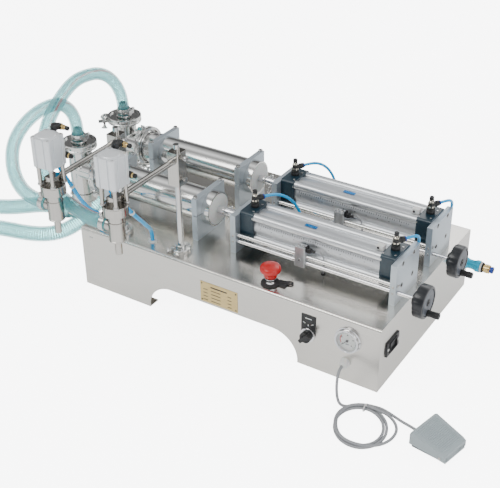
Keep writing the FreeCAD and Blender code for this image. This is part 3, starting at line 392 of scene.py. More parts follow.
class Shape:
    """One mesh put together from turned, boxed and swept parts, in millimetres."""

    def __init__(self):
        self.bm = bmesh.new()

    def _settle(self, verts, at, turn):
        rotation = turn.to_matrix().to_4x4() if turn else Matrix.Identity(4)
        bmesh.ops.transform(self.bm, matrix=Matrix.Translation(Vector(at)) @ rotation, verts=verts)
        return self

    def lathe(self, profile, at=(0, 0, 0), along=Z, segments=48, turn=None, sweep=None):
        """Turn (radius, height) corners about an axis that points along."""
        rings = []
        for radius, height in profile:
            if radius < 1e-6:
                rings.append([self.bm.verts.new((0, 0, height))])
                continue
            ring = []
            for k in range(segments):
                a = 2 * math.pi * k / segments
                r = radius if sweep is None else sweep(radius, a, height)
                ring.append(self.bm.verts.new((r * math.cos(a), r * math.sin(a), height)))
            rings.append(ring)
        for low, high in zip(rings, rings[1:]):
            for k in range(segments):
                n = (k + 1) % segments
                if len(low) == 1 and len(high) == 1:
                    continue
                if len(low) == 1:
                    self.bm.faces.new((low[0], high[n], high[k]))
                elif len(high) == 1:
                    self.bm.faces.new((low[k], low[n], high[0]))
                else:
                    self.bm.faces.new((low[k], low[n], high[n], high[k]))
        verts = [v for ring in rings for v in ring]
        spin = Z.rotation_difference(Vector(along))
        return self._settle(verts, at, (spin @ turn) if turn else spin)

    def rod(self, radius, length, at, along=Z, chamfer=0.4, segments=32):
        c = min(chamfer, radius * 0.4, length * 0.4)
        outline = [
            (0, 0), (radius - c, 0), (radius, c), (radius, length - c), (radius - c, length), (0, length),
        ]
        return self.lathe(outline, at, along, segments)

    def hexagon(self, across, length, at, along=Z, turn=0.0):
        r = across / math.sqrt(3)
        outline = [(0, 0), (r - 0.3, 0), (r, 0.5), (r, length - 0.5), (r - 0.4, length), (0, length)]
        return self.lathe(outline, at, along, 6, Quaternion(Z, turn))

    def box(self, size, at, turn=None, bevel=0.5, segments=2):
        """A box centred on `at`, its edges rounded."""
        made = bmesh.ops.create_cube(self.bm, size=1)
        bmesh.ops.scale(self.bm, vec=size, verts=made["verts"])
        verts = made["verts"]
        if bevel:
            edges = list({e for v in verts for e in v.link_edges})
            result = bmesh.ops.bevel(
                self.bm, geom=verts + edges, offset=min(bevel, min(size) * 0.45), segments=segments,
                profile=0.7, affect="EDGES",
            )
            verts = list({v for f in result["faces"] for v in f.verts} | {v for v in verts if v.is_valid})
            grown = set(verts)
            for v in list(grown):
                for f in v.link_faces:
                    grown.update(f.verts)
            verts = list(grown)
        return self._settle(verts, at, turn)

    def prism(self, outline, height, at, turn=None, bevel=0.4, segments=2):
        """A flat outline of (x, y) corners, raised along its own Z."""
        low = [self.bm.verts.new((x, y, 0)) for x, y in outline]
        high = [self.bm.verts.new((x, y, height)) for x, y in outline]
        count = len(outline)
        faces = [self.bm.faces.new(low[::-1]), self.bm.faces.new(high)]
        for k in range(count):
            n = (k + 1) % count
            faces.append(self.bm.faces.new((low[k], low[n], high[n], high[k])))
        verts = low + high
        if bevel:
            rims = [e for f in faces[:2] for e in f.edges]
            result = bmesh.ops.bevel(
                self.bm, geom=rims, offset=bevel, segments=segments, profile=0.7, affect="EDGES",
            )
            grown = {v for f in result["faces"] for v in f.verts} | {v for v in verts if v.is_valid}
            for v in list(grown):
                for f in v.link_faces:
                    grown.update(f.verts)
            verts = list(grown)
        return self._settle(verts, at, turn)

    def wire(self, points, radius, segments=10, closed=False):
        """A round wire through the points."""
        path = [Vector(p) for p in points]
        rings = []
        normal = None
        count = len(path)
        for i, p in enumerate(path):
            before = path[i - 1] if i or closed else p
            after = path[(i + 1) % count] if i < count - 1 or closed else p
            heading = (after - before).normalized()
            normal = heading.orthogonal().normalized() if normal is None else (
                normal - heading * normal.dot(heading)
            ).normalized()
            side = heading.cross(normal)
            rings.append([
                self.bm.verts.new(
                    p + radius * (math.cos(2 * math.pi * k / segments) * normal
                                  + math.sin(2 * math.pi * k / segments) * side)
                )
                for k in range(segments)
            ])
        pairs = list(zip(rings, rings[1:])) + ([(rings[-1], rings[0])] if closed else [])
        for low, high in pairs:
            for k in range(segments):
                n = (k + 1) % segments
                self.bm.faces.new((low[k], low[n], high[n], high[k]))
        if not closed:
            self.bm.faces.new(rings[0][::-1])
            self.bm.faces.new(rings[-1])
        return self

    def socket_screw(self, at, along, head=10, depth=6, drive=5):
        """A cap screw's head with a hexagon socket sunk in it."""
        r = head / 2
        outline = [(0, 0), (r, 0), (r, depth - 0.5), (r - 0.5, depth), (drive / 2, depth)]
        self.lathe(outline, at, along, 32)
        key = drive / math.sqrt(3)
        self.lathe(
            [(drive / 2, depth), (key, depth - 0.01), (key, depth * 0.45), (0, depth * 0.45)], at, along,
            6,
        )
        return self

    def done(self, name, material, body="machine", smooth=40, replaces=(), slot=None):
        bmesh.ops.remove_doubles(self.bm, verts=self.bm.verts, dist=1e-4)
        bmesh.ops.recalc_face_normals(self.bm, faces=self.bm.faces)
        bmesh.ops.scale(self.bm, vec=(0.001,) * 3, verts=self.bm.verts)
        mesh = bpy.data.meshes.new(name)
        self.bm.to_mesh(mesh)
        self.bm.free()
        piece = finish_object(name, mesh, material, body, smooth)
        if replaces:
            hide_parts(*replaces)
        return piece


# ------------------------------------------------------------------- camera

def set_camera():
    yaw, pitch, roll = (math.radians(a) for a in (32.728, 31.729, -0.583))
    ahead = Vector((-math.sin(yaw) * math.cos(pitch), math.cos(yaw) * math.cos(pitch), -math.sin(pitch)))
    level = Vector((math.cos(yaw), math.sin(yaw), 0))
    over = level.cross(ahead)
    right = level * math.cos(roll) + over * math.sin(roll)
    up = over * math.cos(roll) - level * math.sin(roll)
    camera = bpy.data.objects.new("camera", bpy.data.cameras.new("camera"))
    bpy.context.scene.collection.objects.link(camera)
    camera.data.sensor_width = 36
    camera.data.lens = 1007.38 * 36 / 500
    camera.data.clip_start, camera.data.clip_end = 0.05, 50
    camera.matrix_world = Matrix.Translation((0.9223, -1.5313, 1.2043)) @ Matrix(
        (right, up, -ahead)
    ).transposed().to_4x4()
    bpy.context.scene.camera = camera


def light(name, at, target, size, power, colour=(1, 1, 1)):
    lamp = bpy.data.lights.new(name, "AREA")
    lamp.shape = "RECTANGLE"
    lamp.size, lamp.size_y = size
    lamp.energy = power
    lamp.color = colour
    thing = bpy.data.objects.new(name, lamp)
    bpy.context.scene.collection.objects.link(thing)
    thing.location = at
    thing.rotation_mode = "QUATERNION"
    thing.rotation_quaternion = (Vector(target) - Vector(at)).to_track_quat("-Z", "Y")


def set_stage():
    world = bpy.data.worlds.new("studio")
    bpy.context.scene.world = world
    world.use_nodes = True
    tree = world.node_tree
    upward = tree.nodes.new("ShaderNodeSeparateXYZ")
    tree.links.new(tree.nodes.new("ShaderNodeTexCoord").outputs["Generated"], upward.inputs[0])
    ramp = tree.nodes.new("ShaderNodeValToRGB")
    bands = ((0.0, 0.75), (0.08, 1.0), (0.30, 0.30), (0.48, 0.22), (0.66, 0.85), (0.84, 0.95), (1.0, 0.60))
    stops = ramp.color_ramp.elements
    while len(stops) < len(bands):
        stops.new(0.5)
    for stop, (height, value) in zip(stops, bands):
        stop.position = height
        stop.color = (value * 0.98, value * 0.99, value, 1)
    tree.links.new(upward.outputs["Z"], ramp.inputs["Fac"])
    angle = arithmetic(tree, "ARCTAN2", upward.outputs["Y"], upward.outputs["X"])
    wave = arithmetic(tree, "SINE", arithmetic(tree, "MULTIPLY", angle, 5.0))
    around = arithmetic(tree, "ADD", arithmetic(tree, "MULTIPLY", wave, 0.38), 0.85)
    strips = tree.nodes.new("ShaderNodeVectorMath")
    strips.operation = "SCALE"
    tree.links.new(ramp.outputs["Color"], strips.inputs[0])
    tree.links.new(around, strips.inputs["Scale"])
    tree.links.new(strips.outputs[0], tree.nodes["Background"].inputs["Color"])
    tree.nodes["Background"].inputs["Strength"].default_value = 1.25
    light("key", (-0.9, -1.6, 2.2), (0, 0, 0.1), (1.6, 1.2), 32, (1, 0.99, 0.97))
    light("fill", (2.0, -0.6, 1.2), (0.1, 0, 0.1), (1.4, 1.0), 12, (0.97, 0.98, 1))
    light("back", (0.2, 2.0, 1.6), (0, 0, 0.1), (2.0, 0.8), 16)
    mesh = bpy.data.meshes.new("floor")
    mesh.from_pydata([(-12, -12, 0), (12, -12, 0), (12, 12, 0), (-12, 12, 0)], [], [(0, 1, 2, 3)])
    floor = bpy.data.objects.new("floor", mesh)
    bpy.context.scene.collection.objects.link(floor)
    paper = surface(
        "pale_floor", (0.97, 0.97, 0.97), (0.96, 0.96, 0.96), 0.0, 0.75, 0.05, (3, 3, 3), 1.0, 0.0,
        Specular_IOR_Level=0.1,
    )
    tree = paper.node_tree
    seen = tree.nodes.new("ShaderNodeLightPath").outputs["Is Camera Ray"]
    glow = tree.nodes["Principled BSDF"]
    glow.inputs["Emission Color"].default_value = (0.99, 0.995, 1, 1)
    tree.links.new(arithmetic(tree, "MULTIPLY_ADD", seen, 6.5, 0.35), glow.inputs["Emission Strength"])
    mesh.materials.append(paper)


# --------------------------------------------------------- hoses and cables

def route(name, points):
    """A NURBS curve, in metres, with the points as its control points."""
    data = bpy.data.curves.new(name, "CURVE")
    data.dimensions = "3D"
    data.resolution_u = 16
    spline = data.splines.new("NURBS")
    spline.points.add(len(points) - 1)
    for control, point in zip(spline.points, points):
        control.co = (*mm(point), 1)
    spline.order_u = 3
    spline.use_endpoint_u = True
    thing = bpy.data.objects.new(name, data)
    bpy.context.scene.collection.objects.link(thing)
    return thing


def read_line(name, points):
    """The route's smooth line as points in metres."""
    guide = route(name + "_guide", points)
    bpy.context.view_layer.update()
    mesh = bpy.data.meshes.new_from_object(guide)
    line = [v.co.copy() for v in mesh.vertices]
    bpy.data.meshes.remove(mesh)
    data = guide.data
    bpy.data.objects.remove(guide)
    bpy.data.curves.remove(data)
    return line


def evenly(line, step):
    """The line's points again, about a step apart, and the line's length."""
    gaps = [(b - a).length for a, b in zip(line, line[1:])]
    total = sum(gaps)
    count = max(2, round(total / step))
    found, k, gone = [line[0].copy()], 0, 0.0
    for i in range(1, count):
        want = total * i / count
        while gone + gaps[k] < want:
            gone += gaps[k]
            k += 1
        found.append(line[k].lerp(line[k + 1], (want - gone) / gaps[k]))
    return found + [line[-1].copy()], total


def swept_hose(name, points, radius, bore, pitch, rib, material, body, segments=28):
    """A double-walled hose with a raised helical rib. Returns the piece and its line."""
    line, total = evenly(read_line(name, points), pitch / 5)
    bm = bmesh.new()
    layer = bm.loops.layers.uv.new("along")
    outer, inner, spans = [], [], []
    normal = None
    for i, p in enumerate(line):
        heading = (line[min(i + 1, len(line) - 1)] - line[max(i - 1, 0)]).normalized()
        if normal is None:
            normal = (Z - heading * Z.dot(heading))
            normal = normal.normalized() if normal.length > 0.1 else (
                X - heading * X.dot(heading)
            ).normalized()
        normal = (normal - heading * normal.dot(heading)).normalized()
        side = heading.cross(normal)
        s = total * i / (len(line) - 1)
        spans.append(s)
        ring_out, ring_in = [], []
        for k in range(segments):
            a = 2 * math.pi * k / segments
            way = normal * math.cos(a) + side * math.sin(a)
            swell = 0.5 + 0.5 * math.cos(2 * math.pi * (s / pitch + k / segments))
            ring_out.append(bm.verts.new(p + way * (radius - rib * (1 - swell))))
            ring_in.append(bm.verts.new(p + way * bore))
        outer.append(ring_out)
        inner.append(ring_in)

    def face(corners, uvs):
        made = bm.faces.new(corners)
        made.smooth = True
        for loop, uv in zip(made.loops, uvs):
            loop[layer].uv = uv

    for i in range(len(line) - 1):
        for k in range(segments):
            n = (k + 1) % segments
            a, b = k / segments, (k + 1) / segments
            uvs = [(spans[i], a), (spans[i], b), (spans[i + 1], b), (spans[i + 1], a)]
            face((outer[i][k], outer[i][n], outer[i + 1][n], outer[i + 1][k]), uvs)
            face(
                (inner[i][n], inner[i][k], inner[i + 1][k], inner[i + 1][n]),
                [uvs[1], uvs[0], uvs[3], uvs[2]],
            )
    for ends, flip in ((0, False), (-1, True)):
        for k in range(segments):
            n = (k + 1) % segments
            corners = (outer[ends][n], outer[ends][k], inner[ends][k], inner[ends][n])
            face(corners[::-1] if flip else corners, [(spans[ends], k / segments)] * 4)
    mesh = bpy.data.meshes.new(name)
    bm.to_mesh(mesh)
    bm.free()
    piece = finish_object(name, mesh, material, body, smooth=0)
    return piece, [tuple(p) for p in line]


OUTLET_HOSES = {
    "rear": [
        (-447, 78, 257), (-447, 78, 292), (-448.3, 65, 331.2), (-449.2, 38.2, 363.6), (-447, 1.5, 384.1),
        (-441.8, -38.5, 393.8), (-434.3, -77.2, 399.9), (-423.9, -115.7, 398.9), (-412.1, -153, 392.7),
        (-401, -188, 383), (-390, -220, 369.5), (-377, -248, 353.5), (-362, -273, 335.5),
        (-343, -293, 316), (-319, -308, 298), (-290, -318, 284.5), (-258, -325, 277.5),
        (-227, -334, 276), (-199, -345, 279), (-174, -355, 284), (-153, -360, 288), (-132, -360, 288),
    ],
    "front": [
        (-447, -78, 257), (-447, -78, 288), (-444.2, -87.5, 319.1), (-440.4, -106.2, 345.5),
        (-436, -132.8, 365.2), (-431.8, -165, 375.7), (-431.7, -199.8, 376.3), (-431.5, -233.7, 369.1),
        (-427.5, -265.9, 356.9), (-417.7, -295.3, 340.4), (-398.9, -319.9, 321.1), (-373.3, -339.8, 303.8),
        (-342, -354, 291.9), (-308, -360, 288), (-277, -360, 288),
    ],
}
LOOP_CENTRE = (-760, -405)
LOOP_STEP = 24


def loop(radius, start, steps):
    """A hose's turn on the floor, from an angle in degrees on, anticlockwise from above."""
    angles = [math.radians(start + LOOP_STEP * k) for k in range(steps)]
    x, y = LOOP_CENTRE
    return [(x + radius * math.cos(a), y + radius * math.sin(a), 18.5) for a in angles]


SUCTION_HOSES = {
    "front": [
        (-491, -78, 70), (-533, -78, 70), (-577, -80, 62), (-622, -84, 47), (-668, -89, 32),
        (-716, -94, 21), (-766, -104, 18.5), (-826, -127, 18.5), (-890, -165, 18.5), (-945, -222, 18.5),
        *loop(246, 152, 9),
    ],
    "rear": [
        (-458.39, 35.5, 70), (-467.7, 0.7, 70), (-475, -31, 56), (-484, -61, 37), (-499, -90, 24.5),
        (-521.5, -116, 19), (-552, -136, 18.5), (-586, -147, 18.5), (-621, -154.5, 18.5),
        (-656, -163.5, 18.5), (-702, -179, 18.5), (-770, -200.5, 18.5), *loop(201, 117, 11),
    ],
}
NOZZLE_TUBES = {
    "left": [
        (-272, -327, 420), (-274, -326.6, 396), (-276.5, -325, 370), (-277.5, -319, 347), (-277, -308, 324),
        (-275.5, -294, 297), (-275.5, -276, 260), (-281, -251, 226), (-292, -225, 203), (-303, -201, 184),
        (-309, -187, 168), (-310, -183, 150), (-310, -183, 112),
    ],
    "right": [
        (-130, -328, 422), (-134, -328, 402), (-142, -327.5, 383), (-151, -326.5, 365), (-156.5, -324, 346),
        (-156, -319, 328), (-149, -312, 312), (-140, -304, 297), (-133.5, -294, 280), (-133, -278, 260),
        (-140, -254, 236), (-152, -229, 212), (-166, -205, 191), (-178, -185.5, 174), (-184, -174, 155),
        (-184, -174, 110),
    ],
}
TUBE_CLIPS = {  # a point on each nozzle tube and the tube's direction there
    "left": ((-275.5, -292, 293), (0, 0.45, -0.9)),
    "right": ((-133.4, -291, 277), (0, 0.5, -0.87)),
}
CYLINDER_TUBES = [
    [(9.5, -63.28, 244.5), (18, -48.56, 244.5), (29, -33, 241), (41, -18, 230), (51, -6, 213),
     (58, 1, 192), (62, 4, 168), (63, 4, 144), (63, 4, 120)],
    [(9.5, 92.72, 244.5), (18, 107.44, 244.5), (28, 123, 242), (38, 138, 232), (47, 149, 215),
     (54, 155, 194), (59, 157, 170), (60, 157, 145), (60, 157, 120)],
    [(312.5, -63.28, 244.5), (320.3, -49.77, 244.5), (325, -35, 241), (325, -21, 230), (321, -11, 212),
     (315, -6, 190), (311, -5, 167), (310, -5, 144), (310, -5, 120)],
]
CYLINDER_TUBES.append([(x, y + ROWS["rear"] - ROWS["front"], z) for x, y, z in CYLINDER_TUBES[-1]])
SENSOR_CABLES = {
    "front": [
        (152, -119, 195), (161, -118.8, 195), (169, -116.2, 193), (174, -112.9, 187), (176, -112.4, 178),
        (176, -112.2, 168), (174, -110, 158), (170.6, -104.5, 151), (169, -101, 144), (169, -101, 121),
    ],
    "rear": [
        (152, 37, 195), (161, 37.2, 195), (169, 39.8, 193), (174, 43.1, 187), (176, 43.6, 178),
        (177, 43.8, 168), (178.4, 42.6, 158), (180, 39.4, 150), (180.5, 37.6, 142), (180.5, 37.6, 121),
    ],
}


def pedal_route():
    """From the gland down to the floor, three turns of loose coil, and on to the foot switch."""
    start = [
        (278, -214, 43), (278, -228, 43), (280.5, -242, 37), (285, -254, 27), (291, -264.5, 16),
        (298, -272.5, 7.5), (306, -276.5, 3.4),
    ]
    points = []
    for k in range(38):
        angle = 143 - 30 * k
        turn = k / 12
        if turn < 1:
            long, short, z = 57 - 6.5 * max(0, turn - 0.7) / 0.3, 48 - 6 * max(0, turn - 0.7) / 0.3, 3
        elif turn < 2:
            rise = max(0, turn - 1.75) / 0.25
            long, short, z = 50.5 + 3 * rise, 42 + 3 * rise, 3 + 5.2 * rise
        else:
            long, short, z = 53.5, 45, 8.2
        a = math.radians(angle)
        lean = math.radians(120)
        r = long * short / math.hypot(short * math.cos(a - lean), long * math.sin(a - lean))
        if turn >= 2 and k in STRAY:
            r, z = STRAY[k]
        points.append((361 + r * math.cos(a), -308 + r * math.sin(a), z))
    end = [
        (371, -251, 7.5), (389, -252.5, 6), (405, -256.5, 5), (419, -260.8, 5), (432.5, -264.2, 5.8),
        (447.28, -267.75, 6), (462.87, -271.35, 6),
    ]
    return start + points + end


STRAY = {27: (61, 6), 28: (67, 4), 29: (62.5, 3.5), 30: (57.5, 5.5)}


def plain_cord(name, points, radius, material, body):
    curve = route(name, points)
    curve.data.bevel_depth = radius * 0.001
    curve.data.bevel_resolution = 6
    curve.data.use_fill_caps = True
    curve.data.materials.append(MAT[material])
    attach(curve, body)
    return curve


def soft_tube(name, points, radius, material, segments=16):
    """A smooth round tube as a mesh, for cords that bend between two bodies. Returns the piece
    and its line."""
    line = evenly(read_line(name, points), 0.003)[0]
    shape = Shape()
    shape.wire([p * 1000 for p in line], radius, segments)
    piece = shape.done(name, material, body=None, smooth=60)
    return piece, [tuple(p) for p in line]


def cords():
    for row, side in (("front", "left"), ("rear", "right")):
        points = OUTLET_HOSES[row]
        hose, line = swept_hose(
            f"{row}_outlet_hose_clear", points, **OUTLET, material=OUTLET_HOSE, body=None,
        )
        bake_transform(hose)
        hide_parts(f"{row}_outlet_hose")
        points = SUCTION_HOSES[row]
        hose, line = swept_hose(
            f"{row}_suction_hose_clear", points, **SUCTION, material=SUCTION_HOSE, body="machine",
            segments=32,
        )
        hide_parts(f"{row}_suction_hose")
        points = SENSOR_CABLES[row]
        cable, line = soft_tube(f"{row}_sensor_cable_grey", points, 1.5, "cable")
        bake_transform(cable)
        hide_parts(f"{row}_sensor_cable")
    for side, points in NOZZLE_TUBES.items():
        tube, line = soft_tube(f"{side}_nozzle_tube_blue", points, 4, "tube")
        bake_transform(tube)
        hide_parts(f"{side}_nozzle_air_tube")
        band = Shape().lathe(
            [(4.05, -2.6), (5.1, -2.6), (5.4, -2.2), (5.4, 2.2), (5.1, 2.6), (4.05, 2.6)],
            *TUBE_CLIPS[side], 28,
        ).done(f"{side}_tube_clip", "white", body=None)
        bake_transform(band)
    for number, points in enumerate(CYLINDER_TUBES):
        tube = plain_cord(f"cylinder_tube_{number}", points, 3, "tube", "machine")
        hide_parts("cylinder_air_tubes")
    cable = plain_cord("foot_switch_cable", pedal_route(), 2.75, "cable", "machine")
    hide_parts("pedal_cable", "pedal_cable_coil")
    return cable


set_camera()
set_stage()
cable = cords()


# ----------------------------------------------------------------- CAD nodes

def paint(material, *names):
    for name in names:
        data = nodes[name].data
        data.materials.clear()
        data.materials.append(MAT[material])


paint("cabinet", "cabinet_shell", "side_panels", "base_flange")
paint("anodised", "saddles", "end_plates")
paint(
    "polished", "liquid_cylinders", "valve_bodies", "tri_clamps", "hose_barbs", "nozzle_columns",
    "guide_rods",
)
paint("nozzle", "left_nozzle_body", "right_nozzle_body", "left_nozzle_arm", "right_nozzle_arm")
paint("satin", "hose_clamps")
paint("barrel", "air_barrels", "front_stroke_block", "rear_stroke_block")
paint("cap", "barrel_end_caps")
paint("black", "flow_controls", "switch_legends", "power_inlet", "selector_knob", "gauge_needle")
paint("gold", "nameplate")
paint("chrome", "chrome_bezels", "front_piston_rod", "rear_piston_rod", "front_adjusting_screw",
      "rear_adjusting_screw", "left_nozzle_stem", "right_nozzle_stem")
paint("white", "grommets")
paint("brass", "air_inlet_core")
paint("blue_metal", "air_inlet_sleeve")
paint("red", "stop_button")
paint("pedal", "pedal_base", "pedal_treadle")
paint("ptfe", "front_liquid_piston", "rear_liquid_piston", "front_inlet_poppet", "rear_inlet_poppet",
      "front_outlet_poppet", "rear_outlet_poppet")
paint("charcoal", "front_handwheel", "rear_handwheel")
paint("actuator", "left_nozzle_actuator", "right_nozzle_actuator")

# ------------------------------------------------------------ detail pieces

def clamp_wings(row, y):
    """A clamp ring, and a wing nut on its hinged bolt, at each tri-clamp, top and side."""
    for name, centre, along, direction in (
        ("top", Vector((VALVE_X, y, 250)), Z, Vector((-0.85, -0.53, 0))),
        ("side", Vector((-384, y, AXIS)), X, Vector((0, -0.78, -0.62))),
    ):
        direction = direction.normalized()
        across = Vector(along).cross(direction).normalized()
        lug = centre + direction * 37.5
        shape = Shape()
        turn = turned(direction, across, along)
        for side in (-6.5, 6.5):
            shape.box((13, 6, 13), lug + direction * 4 + across * side, turn, 1.6)
        shape.rod(2.6, 34, lug + direction * 5 - across * 12, across, 0.5, 20)
        shape.rod(5, 5, lug + direction * 5 - across * 14, across, 0.8, 6)
        hub = lug + direction * 5 + across * 11
        shape.lathe(
            [(0, 0), (4.6, 0), (5.2, 1), (4.2, 9), (4.0, 13), (3.4, 14), (0, 14)], hub, across, 32,
        )
        for wing in (-1, 1):
            flare = (Vector(along) * wing + across * 0.75).normalized()
            shape.lathe(
                [(0, 0), (2.2, 0), (2.6, 7), (4.2, 11), (6.8, 13.5), (7.2, 14.6), (6.2, 15), (3.4, 12.4),
                 (0, 11.6)],
                hub + across * 5 + flare * 2.5, flare, 32,
            )
        shape.done(f"{row}_{name}_clamp_wing", "polished")
        groove = Shape()
        outer = 37.6 if name == "top" else 44.3
        groove.lathe(
            [(outer - 1.4, -7.4), (outer + 0.5, -7.0), (outer + 0.9, -5.6), (outer + 0.9, -3.4),
             (outer - 0.2, -2.2), (outer - 0.2, 2.2), (outer + 0.9, 3.4), (outer + 0.9, 5.6),
             (outer + 0.5, 7.0), (outer - 1.4, 7.4)],
            centre, along, 72,
        )
        groove.done(f"{row}_{name}_clamp_ring", "polished")


def valve_trim(row, y):
    """The barb inside the clear hose, the valve's rings, drain boss and side screws, and the
    liquid tube's collar."""
    barb = Shape()
    profile = [(0, 256), (9.4, 256)]
    for k in range(4):
        z = 258 + 7 * k
        profile += [(9.4, z), (10.05, z + 0.4), (9.2, z + 6)]
    barb.lathe(profile + [(8.6, 287), (6.4, 287.4), (6.2, 282)], (VALVE_X, y, 0), Z, 48)
    barb.done(f"{row}_outlet_barb", "satin")
    trim = Shape()
    for z, height, radius in ((116, 4, 28.6), (134, 3, 28.6), (236, 3, 26.4)):
        trim.lathe(
            [(25.4, z), (radius - 0.6, z), (radius, z + 0.6), (radius, z + height - 0.6),
             (radius - 0.6, z + height), (25.4, z + height)],
            (VALVE_X, y, 0), Z, 64,
        )
    trim.lathe(
        [(14.2, 257.1), (17, 257.1), (17.4, 257.8), (16.4, 259.6), (14.2, 260)], (VALVE_X, y, 0), Z, 48,
    )
    boss = Vector((VALVE_X, y, 205)) + Vector((0.55, -0.83, 0)) * 24.5
    trim.lathe([(0, 0), (8, 0), (8, 4), (7, 5), (4, 5), (4, 3.4), (0, 3.4)], boss, (0.55, -0.83, 0), 40)
    trim.lathe([(0, 0), (3, 0), (3, 3.4), (2.4, 4), (0, 4)], boss + Vector((2, -3, 0)), (0.55, -0.83, 0), 6)
    for angle in (0.4, 2.0, 3.6, 5.1):
        way = toward(angle)
        trim.socket_screw(Vector((VALVE_X, y, 126)) + way * 27.6, way, 7, 4, 3.4)
    trim.done(f"{row}_valve_trim", "polished")
    collar = Shape()
    collar.lathe(
        [(35, -390), (36.4, -390), (37, -389.4), (37, -386), (35, -386)], (0, y, AXIS), X, 64,
    )
    collar.lathe([(35, -352), (36.2, -352), (36.4, -350), (35, -350)], (0, y, AXIS), X, 64)
    collar.done(f"{row}_tube_collar", "satin")


def hose_clip(name, centre, axis, radius, screw_way, body):
    """A worm-drive band: slots along the band, its screw housing and the screw."""
    axis = Vector(axis).normalized()
    way = Vector(screw_way).normalized()
    side = axis.cross(way).normalized()
    shape = Shape()
    shape.lathe(
        [(radius, -5.2), (radius + 0.7, -5.2), (radius + 1.0, -4.9), (radius + 1.0, 4.9),
         (radius + 0.7, 5.2), (radius, 5.2)],
        centre, axis, 64,
    )
    turn = turned(way, side, axis)
    base = Vector(centre) + way * (radius + 3.6)
    shape.box((6.4, 12, 10.6), base, turn, 1.2, 3)
    shape.rod(3.3, 17, base + way * 1.4 - side * 7, side, 0.6, 28)
    shape.lathe([(0, 0), (3.8, 0), (4.0, 0.5), (4.0, 4), (3.5, 4.6), (0.9, 4.6), (0.9, 3.4), (0, 3.4)],
                base + way * 1.4 + side * 8.4, side, 6)
    for k in range(-9, 10):
        if abs(k) < 2:
            continue
        a = 2 * math.pi * k / 22
        spot = way * math.cos(a) + side * math.sin(a)
        tangent = side * math.cos(a) - way * math.sin(a)
        slant = turned(spot, tangent, axis)
        shape.box((0.5, 1.5, 6.6), Vector(centre) + spot * (radius + 1.1), slant, 0.2, 1)
    shape.done(name, "polished", body)


def cylinder_trim(row, y):
    """The air cylinder's printed scale, cap screws, end sensor and label plate; its plates' screws."""
    scale = Shape()
    front = Vector((0, -math.cos(math.radians(8)), math.sin(math.radians(8))))
    for k in range(0, 50):
        x = 28 + 5 * k
        long = 5.4 if k % 5 == 0 else 3.0
        scale.box((0.7, 0.25, long), Vector((x, y, AXIS)) + front * 29.05 + Z * (6 + long / 2), None, 0)
        if k % 5 == 0:
            scale.box((2.0, 0.25, 2.4), Vector((x + 3.2, y, AXIS)) + front * 28.9 - Z * 0.5, None, 0)
    scale.done(f"{row}_cylinder_scale", "ink", smooth=0)
    mark = Shape()
    mark.box((26, 9, 0.4), (130, y - 4, AXIS + 29.15), None, 0.15, 1)
    mark.done(f"{row}_cylinder_label", "blue_metal")
    grooves = Shape()
    for x in (14.6, 290.4):
        for a, b in CORNERS:
            spot = (x, y + BOLT * a, AXIS + BOLT * b)
            grooves.lathe([(8.7, -1.2), (9.4, -1.2), (9.6, 0), (9.4, 1.2), (8.7, 1.2)], spot, X, 32)
    for a in (-1, 1):
        for x in CONTROLS:
            grooves.rod(2.0, 1.2, (x + 9, y + 16 * a - 3, 227.3), Z, 0.3, 24)
    grooves.done(f"{row}_barrel_ties", "satin")
    sensor = Shape()
    sensor.box((15, 12, 11), (279, y - 9, AXIS + 34), None, 1.4, 3)
    sensor.done(f"{row}_end_sensor", "white")
    eye = Shape()
    eye.rod(2.4, 1.4, (276, y - 15.2, AXIS + 34.5), -Y, 0.3, 28)
    eye.done(f"{row}_end_sensor_eye", "black")
    bolts = Shape()
    for a, b in CORNERS:
        bolts.lathe(
            [(4.5, 0), (4.9, 0), (5.2, 0.5), (4.6, 0.9), (3.9, 0.4), (3.7, -5), (2.2, -5), (2.0, -7.5),
             (0, -7.5)],
            (330.6, y + BOLT * a, AXIS + BOLT * b), X, 32,
        )
    bolts.socket_screw((331, y - SCREW_OFFSET, 178.6), X, 7, 1.4, 3.2)
    bolts.socket_screw((331, y - 33, 176), X, 4, 0.9, 2)
    for x in (-20, 325):
        bolts.socket_screw((x, y - 49, 178), -Y, 5.4, 0.8, 2.8)
        bolts.socket_screw((x, y - 49, 165), -Y, 4.4, 0.6, 2.4)
    bolts.done(f"{row}_plate_screws", "satin")
    dowels = Shape()
    for x in (-337, -111):
        for side in (-1, 1):
            dowels.socket_screw((x, y + 44 * side, 233.3), Z, 9.5, 4.2, 4.6)
    dowels.done(f"{row}_saddle_screws", "satin")


